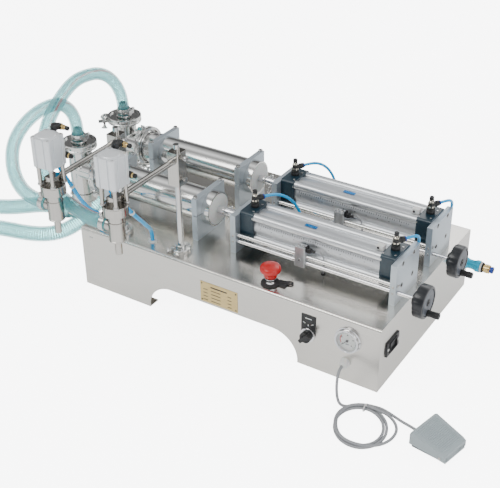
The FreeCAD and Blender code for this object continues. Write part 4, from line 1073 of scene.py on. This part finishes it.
def control_trim(row, y):
    """Nickel hexagon, lock nut and black knob of each speed control, with its push-in collar."""
    for number, x in enumerate(CONTROLS):
        metal = Shape()
        metal.hexagon(12.5, 6, (x, y, 238.2), Z, 0.3)
        metal.lathe(
            [(0, 0), (4.8, 0), (5.2, 0.6), (5.2, 4.4), (3.6, 6), (3.6, 7), (0, 7)], (x, y, 248.8), Z, 32,
        )
        metal.hexagon(8.8, 2.6, (x, y, 255.4), Z, 0.1)
        metal.done(f"{row}_control_metal_{number}", "nickel")
        way = toward(math.radians(60))
        black = Shape()
        black.lathe([(0, 0), (8.6, 0), (8.8, 0.6), (8.8, 4.6), (8.2, 5.4), (0, 5.4)], (x, y, 229.2), Z, 48)
        black.lathe(
            [(0, 0), (4.2, 0), (4.5, 0.5), (4.5, 4.8), (3.9, 5.6), (0, 5.6)], (x, y, 258), Z, 40,
            sweep=lambda r, a, h: r * (1 + 0.03 * math.cos(14 * a)),
        )
        black.lathe([(3.1, 0), (5.6, 0), (5.9, 0.5), (5.9, 7.5), (5.3, 8.3), (3.3, 8.3)],
                    Vector((x, y, 244.5)) + way * 9.2, way, 40)
        black.done(f"{row}_control_black_{number}", "black")
        collar = Shape()
        collar.lathe([(3.1, 0), (4.4, 0), (4.4, 1.4), (5.2, 1.6), (5.2, 2.8), (3.2, 2.9)],
                     Vector((x, y, 244.5)) + way * 17.2, way, 40)
        collar.done(f"{row}_control_collar_{number}", "blue_collar")


def piston_trim(row, y):
    """White face of the liquid piston, its coupling's pin and the wire ring hanging from it."""
    Shape().lathe(
        [(9.4, 0), (30.6, 0), (31.6, 0.4), (32.1, 1.4), (32.1, 8), (30, 8.4), (9.4, 8.4)],
        (-94.2, y, AXIS), X, 72,
    ).done(f"{row}_piston_face", "ptfe", f"{row}_piston")
    pin = Shape()
    pin.lathe(
        [(0, 0), (9.6, 0), (10, 0.5), (10, 3.6), (9.6, 4), (8.6, 4.2), (0, 4.2)], (-70, y, AXIS), X, 48,
    )
    pin.rod(2.4, 29, (-56, y, AXIS - 14.5), Z, 0.5, 24)
    pin.lathe([(0, 0), (4.0, 0), (4.3, 0.5), (4.0, 2.4), (2.4, 3), (0, 3)], (-56, y, AXIS + 12.4), Z, 32)
    ring_line = []
    for k in range(28):
        a = 2 * math.pi * k / 28
        ring_line.append((-56 + 2 * math.sin(a), y - 7 + 8 * math.cos(a), AXIS - 15 + 10 * math.sin(a)))
    pin.wire(ring_line, 0.9, 10, closed=True)
    pin.done(f"{row}_coupling_pin", "polished", f"{row}_piston")


def adjuster_trim(row, y):
    """The stroke stop's block with its two screws and reed switch, and the wheel's rim, face and knob."""
    centre = y - SCREW_OFFSET
    block = Shape()
    for x in (125, 135):
        block.socket_screw((x, centre, 198.6), Z, 6, 3.0, 3)
    block.socket_screw((130, centre - 7.4, 172), -Y, 6.4, 0.8, 3.2)
    block.done(f"{row}_stroke_block_screws", "satin", f"{row}_stroke_stop")
    switch = Shape()
    switch.box((11, 8, 9), (146.5, centre, 194.5), None, 1.1, 3)
    switch.box((4, 9, 4), (143, centre, 201), None, 0.8)
    switch.lathe([(2.9, 0), (2.9, 1.6), (2.2, 6), (1.7, 9), (1.5, 9)], (151.6, centre, 195), X, 28)
    switch.done(f"{row}_reed_switch", "black", f"{row}_stroke_stop")
    Shape().lathe(
        [(4.2, 365), (13, 365), (14, 366), (14, 371), (22, 373), (30.6, 373.2), (31.7, 374.2),
         (31.9, 376), (31.9, 390), (31, 392.4), (29, 393.4), (26.4, 393.2), (25.6, 391.2), (4.2, 391.2)],
        (0, centre, 165), X, 96,
        sweep=lambda r, a, h: r - (1.5 * max(0, math.cos(9 * a)) ** 3 if r > 29 and 372 < h < 383 else 0),
    ).done(f"{row}_wheel_rim", "charcoal", f"{row}_wheel", replaces=(f"{row}_handwheel",), slot="charcoal")
    Shape().lathe(
        [(7, 391.3), (25.2, 391.3), (25.2, 392.2), (24.6, 392.5), (7.4, 392.5), (7, 392.2)],
        (0, centre, 165), X, 72,
    ).done(f"{row}_wheel_insert", "wheel_face", f"{row}_wheel")
    hub = Shape()
    hub.lathe(
        [(0, 391.2), (6.6, 391.2), (6.6, 392.6), (5.6, 393.4), (2.6, 393.4), (2.6, 391.8), (0, 391.8)],
        (0, centre, 165), X, 48,
    )
    hub.lathe(
        [(0, 0), (5.2, 0), (6.5, 1.2), (6.6, 5), (5.9, 8), (6.0, 13), (6.5, 19), (6.5, 23.4), (5.6, 24.8),
         (0, 24.8)],
        (391, centre, 143), X, 48,
    )
    hub.done(f"{row}_wheel_knob", "black", f"{row}_wheel", replaces=(f"{row}_handwheel",))


def nozzle_trim(side, x):
    """The actuator's fluted body and screws, its fittings, the nozzle's rings, the arm's screws
    and the column's foot."""
    body = f"{side}_nozzle"
    half, flute, corner = 22.05, 2.2, 5
    outline = []
    for quarter in range(4):
        turn = Quaternion(Z, math.pi / 2 * quarter)
        points = []
        for k in range(7):
            a = math.radians(-45 + 15 * k + 45)
            points.append((half - corner + corner * math.cos(a), half - corner + corner * math.sin(a)))
        for centre in (10, -10):
            points += [
                (centre + 1.9, half), (centre + 1.3, half - flute), (centre, half - flute - 0.5),
                (centre - 1.3, half - flute), (centre - 1.9, half),
            ]
        outline += [tuple((turn @ Vector((*p, 0)))[:2]) for p in points]
    case = Shape()
    case.prism(outline, 57.6, (x, NOZZLE_Y, 374.2), None, 0.8)
    case.lathe([(0, 431.6), (17.5, 431.6), (17.5, 433), (16.4, 434), (0, 434)], (x, NOZZLE_Y, 0), Z, 64)
    case.done(
        f"{side}_actuator_case", "actuator", body, replaces=(f"{side}_nozzle_actuator",), slot="barrel",
    )
    top = Shape()
    for a, b in CORNERS:
        top.socket_screw((x + 17.2 * a, NOZZLE_Y + 17.2 * b, 429.6), Z, 5.4, 2.4, 2.8)
    for a, b in CORNERS:
        spot = (x + 15 * a, NOZZLE_Y + 15 * b, 0)
        top.lathe([(4, 336), (5.2, 336), (5.4, 336.4), (5.4, 339), (4, 339.4)], spot, Z, 32)
        top.lathe([(4, 370), (5.0, 370), (5.0, 374), (4, 374)], spot, Z, 32)
    top.done(f"{side}_actuator_screws", "satin", body)
    rings = Shape()
    rings.lathe(
        [(15, 300), (15.9, 300), (16.1, 300.3), (16.1, 301.4), (15, 301.8)], (x, NOZZLE_Y, 0), Z, 64,
    )
    rings.lathe([(22.8, 318), (23.5, 318.4), (23.5, 332.6), (22.8, 333)], (x, NOZZLE_Y, 0), Z, 72)
    rings.lathe([(14.9, 261.2), (15.5, 261.6), (15.5, 263.4), (14.9, 264)], (x, NOZZLE_Y, 0), Z, 64)
    rings.lathe([(5.8, 232.2), (6.5, 232.8), (6.5, 258), (7.4, 260.8), (6, 261)], (x, NOZZLE_Y, 0), Z, 48)
    rings.done(f"{side}_nozzle_rings", "nozzle", body)
    start = Vector(NOZZLE_TUBES[side][0])
    fitting = Shape()
    fitting.lathe(
        [(4.1, 0), (6.0, 0), (6.4, 0.6), (6.4, 9), (5.6, 10), (0, 13)], start + Vector((0, 0, -4)), Z, 36,
    )
    bend = [start + Vector(p) for p in ((0, 0, 7), (0.6, 0, 12), (3, 0, 15.6), (8, 0, 17), (14, 0, 17))]
    fitting.wire(bend, 5.2, 24)
    fitting.rod(6.2, 10, start + Vector((12, 0, 17)), X, 0.8, 32)
    fitting.rod(5.0, 12, start + Vector((16, 0, 17)), -Y, 0.6, 28)
    fitting.done(f"{side}_top_elbow", "black", body)
    metal = Shape()
    metal.hexagon(9.6, 6, start + Vector((22, 0, 17)), X)
    metal.rod(3.6, 5, start + Vector((28, 0, 17)), X, 0.5, 24)
    metal.done(f"{side}_top_elbow_hex", "brass", body)
    knob = Shape()
    knob.lathe(
        [(0, 0), (3.9, 0), (4.3, 0.5), (4.3, 5), (3.7, 5.8), (0, 5.8)], start + Vector((32, 0, 17)), X,
        40, sweep=lambda r, a, h: r * (1 + 0.03 * math.cos(12 * a)),
    )
    knob.rod(4.3, 6, (x + 27.5, NOZZLE_Y + 24, 388), X, 0.8, 28)
    knob.rod(6.2, 14, (x + 10, NOZZLE_Y + 24, 388), X, 0.8, 28)
    knob.done(f"{side}_control_knobs", "black", body)
    lower = Shape()
    lower.hexagon(8.6, 4.5, (x + 23.5, NOZZLE_Y + 24, 388), X)
    lower.rod(4.2, 6, (x + 17, NOZZLE_Y + 20, 388), Y, 0.5, 24)
    lower.done(f"{side}_low_control_hex", "brass", body)
    arm = Shape()
    arm.socket_screw((x, COLUMN_Y, 360.6), Z, 9, 5, 4.6)
    arm.lathe(
        [(0, 0), (3, 0), (3, 4), (5, 5), (5.4, 6), (5.4, 11), (4.8, 12), (0, 12)],
        (x + 12.6, COLUMN_Y, 349), X, 36,
    )
    arm.lathe([(0, 0), (2.6, 0), (2.6, 3), (4.4, 3.6), (4.8, 8), (0, 8)], (x + 12.6, COLUMN_Y, 305), X, 32)
    arm.lathe([(6.1, 0), (7.2, 0), (7.2, 2), (6.1, 2.3)], (x, -189.6, 343), -Y, 36)
    arm.done(f"{side}_arm_screws", "satin", body)
    foot = Shape()
    foot.lathe(
        [(6.1, 156.6), (10.6, 156.6), (11.4, 155.8), (11.4, 149.6), (18.8, 149.4), (19.7, 148.6),
         (19.7, 140), (19.3, 139.3)],
        (x, COLUMN_Y, 0), Z, 64,
    )
    for k in range(4):
        a = math.pi / 4 + math.pi / 2 * k
        foot.socket_screw((x + 14.6 * math.cos(a), COLUMN_Y + 14.6 * math.sin(a), 148.6), Z, 5.6, 2, 2.6)
    foot.lathe(
        [(0, 0), (3, 0), (3, 2.6), (1.4, 3.2), (1.4, 2), (0, 2)], (x - 7.6, COLUMN_Y - 7.6, 152.6),
        (-1, -1, 0), 28,
    )
    foot.lathe(
        [(0, 0), (3.4, 0), (3.6, 4), (5.6, 5), (6, 9), (0, 9)], (x - 14, -189, 144.6), (-0.7, -0.7, 0),
        28,
    )
    foot.done(f"{side}_column_foot", "polished")


def front_trim():
    """Gauge face and bezel, selector and legend, emergency stop, nameplate print, gland nut, rivets."""
    Shape().lathe(
        [(0, 0), (20.3, 0), (20.3, 0.4), (0, 0.4)], GAUGE - 0.6 * Y, -Y, 64,
    ).done("gauge_dial", "white")
    ticks = Shape()
    for k in range(41):
        a = math.radians(225 - 270 * k / 40)
        big = k % 5 == 0
        r = 16.6 if big else 17.4
        way = Vector((math.cos(a), 0, math.sin(a)))
        turn = Quaternion(Y, math.pi / 2 - a)
        ticks.box((0.55 if big else 0.3, 0.3, 3.2 if big else 1.7), GAUGE - 1.1 * Y + way * r, turn, 0)
        if k % 10 == 0:
            ticks.box((2.0, 0.3, 2.6), GAUGE - 1.1 * Y + way * 12.4, None, 0)
    ticks.box((7, 0.3, 1.4), GAUGE - 1.1 * Y - 8 * Z, None, 0)
    ticks.done("gauge_print", "ink", smooth=0)
    band = Shape()
    for k in range(12):
        a = math.radians(210 - 6 * k)
        band.box(
            (1.6, 0.3, 1.7), GAUGE - 1.05 * Y + Vector((math.cos(a), 0, math.sin(a))) * 14.6,
            Quaternion(Y, math.pi / 2 - a), 0,
        )
    band.done("gauge_band", "red", smooth=0)
    Shape().lathe(
        [(20.4, 0), (20.8, 5.2), (22.2, 6.4), (23.9, 6.2), (24.6, 4.4), (24.6, 0.6), (26.2, 0),
         (26.2, -2), (20.4, -2)],
        GAUGE, -Y, 96,
    ).done("gauge_bezel", "chrome")
    Shape().lathe(
        [(0, 4.4), (20.6, 4.4), (20.6, 5.0), (0, 5.0)], GAUGE, -Y, 64,
    ).done("gauge_glass", GLASS)
    legend = Shape()
    legend.box((14, 0.3, 1.8), (199, -209.7, 112), None, 0.05, 1)
    for x in (190.5, 207.5):
        legend.box((5, 0.3, 1.4), (x, -209.7, 101), Quaternion(Y, 0.5 if x < 199 else -0.5), 0.05, 1)
    legend.box((1.4, 0.3, 4), (199, -209.7, 97), None, 0.05, 1)
    legend.done("selector_legend_print", "white", smooth=0)
    Shape().lathe(
        [(11.2, 0), (14.2, 0), (14.8, 0.8), (14.8, 3.6), (13.6, 5), (11.4, 5.2)], (199, -208, 76), -Y, 64,
        sweep=lambda r, a, h: r * (1 + 0.012 * math.cos(36 * a)) if r > 14 else r,
    ).done("selector_ring", "chrome")
    plate = Shape()
    for row in range(5):
        for k in range(3 if row else 1):
            width = 38 if not row else (10, 22, 9)[k]
            centre = -1 if not row else (-32, -8, 24)[k]
            plate.box(
                (width, 0.3, 2.8 if not row else 1.5), (centre, -209.05, 103 - 8 * row), None, 0.05, 1,
            )
    for x in (-40.5, 38.5):
        for z in (69, 107):
            plate.lathe([(0, 0), (1.6, 0), (1.6, 0.4), (1.0, 0.9), (0, 1)], (x, -208.9, z), -Y, 20)
    plate.done("nameplate_print", "ink", smooth=0)
    Shape().lathe(
        [(6.4, 0), (9.2, 0), (9.7, 0.8), (9.7, 3.4), (8.6, 4.2), (7.8, 9), (6.2, 13), (4.4, 15),
         (2.95, 15)],
        (278, -208.4, 43), -Y, 48,
        sweep=lambda r, a, h: r * (1 + 0.03 * math.cos(18 * a)) if h < 9 and r > 7 else r,
    ).done("cable_gland_nut", "white")
    Shape().lathe(
        [(8, 155), (12.4, 155), (13.2, 156), (13.4, 160), (14.6, 163.6), (18.4, 166.4), (20.1, 168.2),
         (20.4, 171.5), (20.0, 174.6), (18.6, 177), (16, 178.5), (10, 179.4), (0, 179.7)],
        STOP, Z, 80,
    ).done("stop_mushroom", "red", "stop", replaces=("stop_button",), slot="red")
    Shape().lathe(
        [(10.8, 139.2), (11.6, 139.6), (11.6, 143), (11.1, 144), (11.1, 149.8), (11.3, 150.2),
         (11.3, 151.4), (10.6, 151.8), (7.2, 151.8)],
        STOP, Z, 64,
    ).done("stop_collar", "chrome")
    under = Shape()
    under.lathe(
        [(11.8, 0), (17.4, 0), (18.2, 0.7), (18.2, 2.4), (17.2, 3.2), (11.8, 3.2)], (99, -180, 139.1), Z,
        64,
    )
    under.wire(
        [(114, -176, 141.2), (122, -172, 141.5), (131, -169, 141.5), (137, -166, 141.5),
         (138, -161, 141.5), (132, -160, 141.5), (124, -163, 141.5), (113, -170, 141.2)],
        1.5, 12, closed=True,
    )
    under.done("stop_guard_ring", "rubber")
    rivets = Shape()
    rivets.lathe([(0, 0), (2.2, 0), (2.0, 0.5), (1.2, 1.0), (0, 1.1)], (-322, -208, 121), -Y, 24)
    rivets.lathe([(0, 0), (1.9, 0), (1.7, 0.5), (0, 0.9)], (-317, -208, 121), -Y, 24)
    rivets.done("front_rivets", "satin")


def side_trim():
    """The mains inlet's frame and screws, the air inlet's parts, and the deck's bushes."""
    frame_piece = Shape()
    outline = [(-29, -6), (-24, -14), (24, -14), (29, -6), (29, 6), (24, 14), (-24, 14), (-29, 6)]
    upright = turned(Y, Z, X)
    frame_piece.prism(outline, 1.6, (345.1, -158, 80), upright, 0.5)
    for a in (-1, 1):
        frame_piece.box((3, 30, 1.6), (348.6, -158, 80 + 10.6 * a), None, 0.5)
        frame_piece.box((3, 1.6, 20), (348.6, -158 + 14 * a, 80), None, 0.5)
    frame_piece.done("mains_inlet_frame", "black")
    screws = Shape()
    for a in (-1, 1):
        screws.lathe(
            [(0, 0), (3.2, 0), (3.0, 0.8), (1.8, 1.6), (0, 1.9)], (348, -158 + 20.6 * a, 80), X, 28,
        )
    screws.done("mains_inlet_screws", "satin")
    Shape().lathe(
        [(8.9, 388.4), (10.9, 388.4), (11.2, 388.9), (11.2, 391.6), (10.6, 392), (8.9, 392)], AIR_INLET,
        X, 48,
    ).done("air_inlet_ring", "white")
    Shape().lathe(
        [(8.9, 392.1), (10.2, 392.1), (10.4, 392.6), (10.4, 394.2), (8.9, 394.4)], AIR_INLET, X, 48,
    ).done("air_inlet_seal", "rubber")
    Shape().lathe(
        [(9.2, 352.2), (11.0, 352.2), (11.6, 352.9), (11.8, 358), (11.0, 361), (9.9, 363.4), (9.7, 373),
         (10.2, 376), (11.6, 378.4), (12.3, 380.4), (12.3, 386.6), (11.7, 387.7), (9.2, 387.9)],
        AIR_INLET, X, 64, sweep=lambda r, a, h: r * (1 + 0.012 * math.cos(24 * a)) if r > 11.9 else r,
    ).done("air_inlet_grip", "sleeve", "inlet_sleeve", replaces=("air_inlet_sleeve",), slot="blue")
    brass = Shape()
    brass.hexagon(16.6, 7.5, (397.6, 167, 82), X, 0.2)
    brass.lathe([(6.4, 405), (7.4, 405), (7.6, 405.6), (7.6, 408.4), (6.4, 409)], AIR_INLET, X, 48)
    brass.done("air_inlet_hex", "brass")
    Shape().lathe(
        [(4.2, 409.2), (6.4, 409.2), (6.4, 411), (7.2, 411.6), (7.2, 414.6), (6.4, 415.4), (4.4, 415.4)],
        AIR_INLET, X, 48,
    ).done("air_inlet_collar", "blue_collar")
    bushes = Shape()
    for points in CYLINDER_TUBES:
        x, y, z = points[-1]
        bushes.lathe(
            [(3.3, 0), (7.2, 0), (7.4, 0.6), (6.6, 2.4), (4.4, 3.2), (3.3, 3.2)], (x, y, 138.9), Z, 32,
        )
    for points in SENSOR_CABLES.values():
        x, y, z = points[-1]
        bushes.lathe([(1.8, 0), (4.2, 0), (4.2, 1.0), (3.2, 2.2), (1.8, 2.2)], (x, y, 138.9), Z, 28)
    bushes.done("deck_bushes", "rubber")


def pedal_cover():
    """The foot switch's ribbed cover, black base plate that is also painted shade in the gap under the
    cover, hinge pins and cable relief.
    """
    turn = Quaternion(Z, math.radians(-13))
    centre = Vector((496, -279, 0))

    def cover(s, t, z):
        """A point of the cover: s runs 0..1 from the thick end, t is -1..1 across."""
        half = 36.8 - 6.2 * s
        return centre + turn @ Vector((-35 + 70 * s, half * t, z))

    def height(s):
        return 33.2 - 13.5 * s - 2.2 * max(0, s - 0.9) * 10 - 3.0 * max(0, 0.05 - s) * 20

    shape = Shape()
    bm = shape.bm
    steps, across = 190, 16
    grid = []
    for i in range(steps + 1):
        s = i / steps
        rib = 1.1 * max(0, math.cos(2 * math.pi * s * 20)) ** 0.5 if 0.1 < s < 0.93 else 0
        row = []
        for j in range(across + 1):
            t = -1 + 2 * j / across
            fall = max(0, abs(t) - 0.9) * 10
            row.append(
                bm.verts.new(
                    cover(s, t * (1 - 0.01 * fall), height(s) + rib * (abs(t) < 0.86) - 1.6 * fall**2)
                )
            )
        grid.append(row)
    for a, b in zip(grid, grid[1:]):
        for j in range(across):
            bm.faces.new((a[j], a[j + 1], b[j + 1], b[j]))
    rim = [row[0] for row in grid] + grid[-1][1:] + [
        row[-1] for row in reversed(grid[:-1])
    ] + grid[0][-2:0:-1]
    foot = []
    for v in rim:
        low = v.co.copy()
        low.z = 4.2 + 2.6 * (0.5 - (turn.inverted() @ (v.co - centre)).x / 70)
        foot.append(bm.verts.new(low))
    count = len(rim)
    for k in range(count):
        n = (k + 1) % count
        bm.faces.new((rim[k], foot[k], foot[n], rim[n]))
    bm.faces.new(foot)
    shape.done(
        "foot_switch_cover", "pedal", "treadle", smooth=35, replaces=("pedal_treadle",), slot="pedal",
    )
    # Black base plate, also a dark sheet standing in for the shade in the gap under the cover's thick end.
    base = Shape()
    outline = [(-33, -31), (-30, -33), (31, -27), (33.6, -24), (33.6, 24), (31, 27), (-30, 33), (-33, 31)]
    base.prism(outline, 1.4, centre + Vector((0, 0, 0.2)), turn, 0.6)
    base.done("foot_switch_base_and_gap_shade", "black")
    pins = Shape()
    for side in (-1, 1):
        spot = centre + turn @ Vector((25, 31.2 * side, 8))
        pins.lathe([(0, 0), (2.2, 0), (2.2, 1.4), (1.6, 2), (0, 2)], spot, turn @ Vector((0, side, 0)), 28)
    pins.done("foot_switch_pins", "white", "treadle")
    relief = Shape()
    way = turn @ Vector((-1, 0, 0))
    relief.lathe([(2.95, 0), (5.2, 0), (5.0, 3), (4.4, 7), (3.6, 12), (3.0, 14), (2.95, 14)],
                 Vector((462.87, -271.35, 6)), way, 36,
                 sweep=lambda r, a, h: r - (0.35 if int(h / 2) % 2 else 0) * (r > 3.2))
    relief.done("foot_switch_relief", "rubber")


def ties():
    """Ties that hold the loose turns of the cable and of the two suction hoses."""
    spot = Vector((348, -262, 5.4))
    shape = Shape()
    around = []
    for k in range(24):
        a = 2 * math.pi * k / 24
        around.append(spot + Vector((0.3, 9.5 * math.cos(a), 5.0 * math.sin(a) + 0.4)))
    shape.wire(around, 1.1, 8, closed=True)
    shape.box((4, 4, 3.4), spot + Vector((0.3, 1, 6)), None, 0.6)
    shape.done("cable_tie", "white")
    strap = Shape()
    for angle in (140, 240, 330):
        a = math.radians(angle)
        way = toward(a)
        middle = Vector((*LOOP_CENTRE, 18.5)) + way * 223.5
        outline = []
        for k in range(20):
            b = math.pi * (k / 19 - 0.5)
            outline.append(middle + way * (22.5 + 19.3 * math.cos(b)) + Z * 19.3 * math.sin(b) * 0.94)
        for k in range(20):
            b = math.pi * (k / 19 + 0.5)
            outline.append(middle - way * (22.5 - 19.3 * math.cos(b)) + Z * 19.3 * math.sin(b) * 0.94)
        across = way.cross(Z)
        for offset in (-3, -1, 1, 3):
            strap.wire([p + across * offset for p in outline], 1.1, 6, closed=True)
        strap.box((9, 12, 4), middle + Z * 20.6, Quaternion(Z, a), 1.0)
    strap.done("suction_hose_straps", "rubber")


for row, y in ROWS.items():
    clamp_wings(row, y)
    valve_trim(row, y)
    cylinder_trim(row, y)
    control_trim(row, y)
    piston_trim(row, y)
    adjuster_trim(row, y)
    hose_clip(f"{row}_outlet_clip", (VALVE_X, y, 268.5), Z, 13.9, (0.9, 0.43, 0), "machine")
for side, x in NOZZLES.items():
    nozzle_trim(side, x)
    hose_clip(f"{side}_port_clip", (x - 28, NOZZLE_Y, 288), X, 13.9, (0, 0.2, 0.98), f"{side}_nozzle")
for row, heading, end in (("front", 180, (-491, -78, 70)), ("rear", 255, (-458.39, 35.5, 70))):
    way = toward(math.radians(heading))
    hose_clip(f"{row}_suction_clip", Vector(end) + way * 12, way, 18.4, (0, 0, 1), "machine")
front_trim()
side_trim()
pedal_cover()
ties()
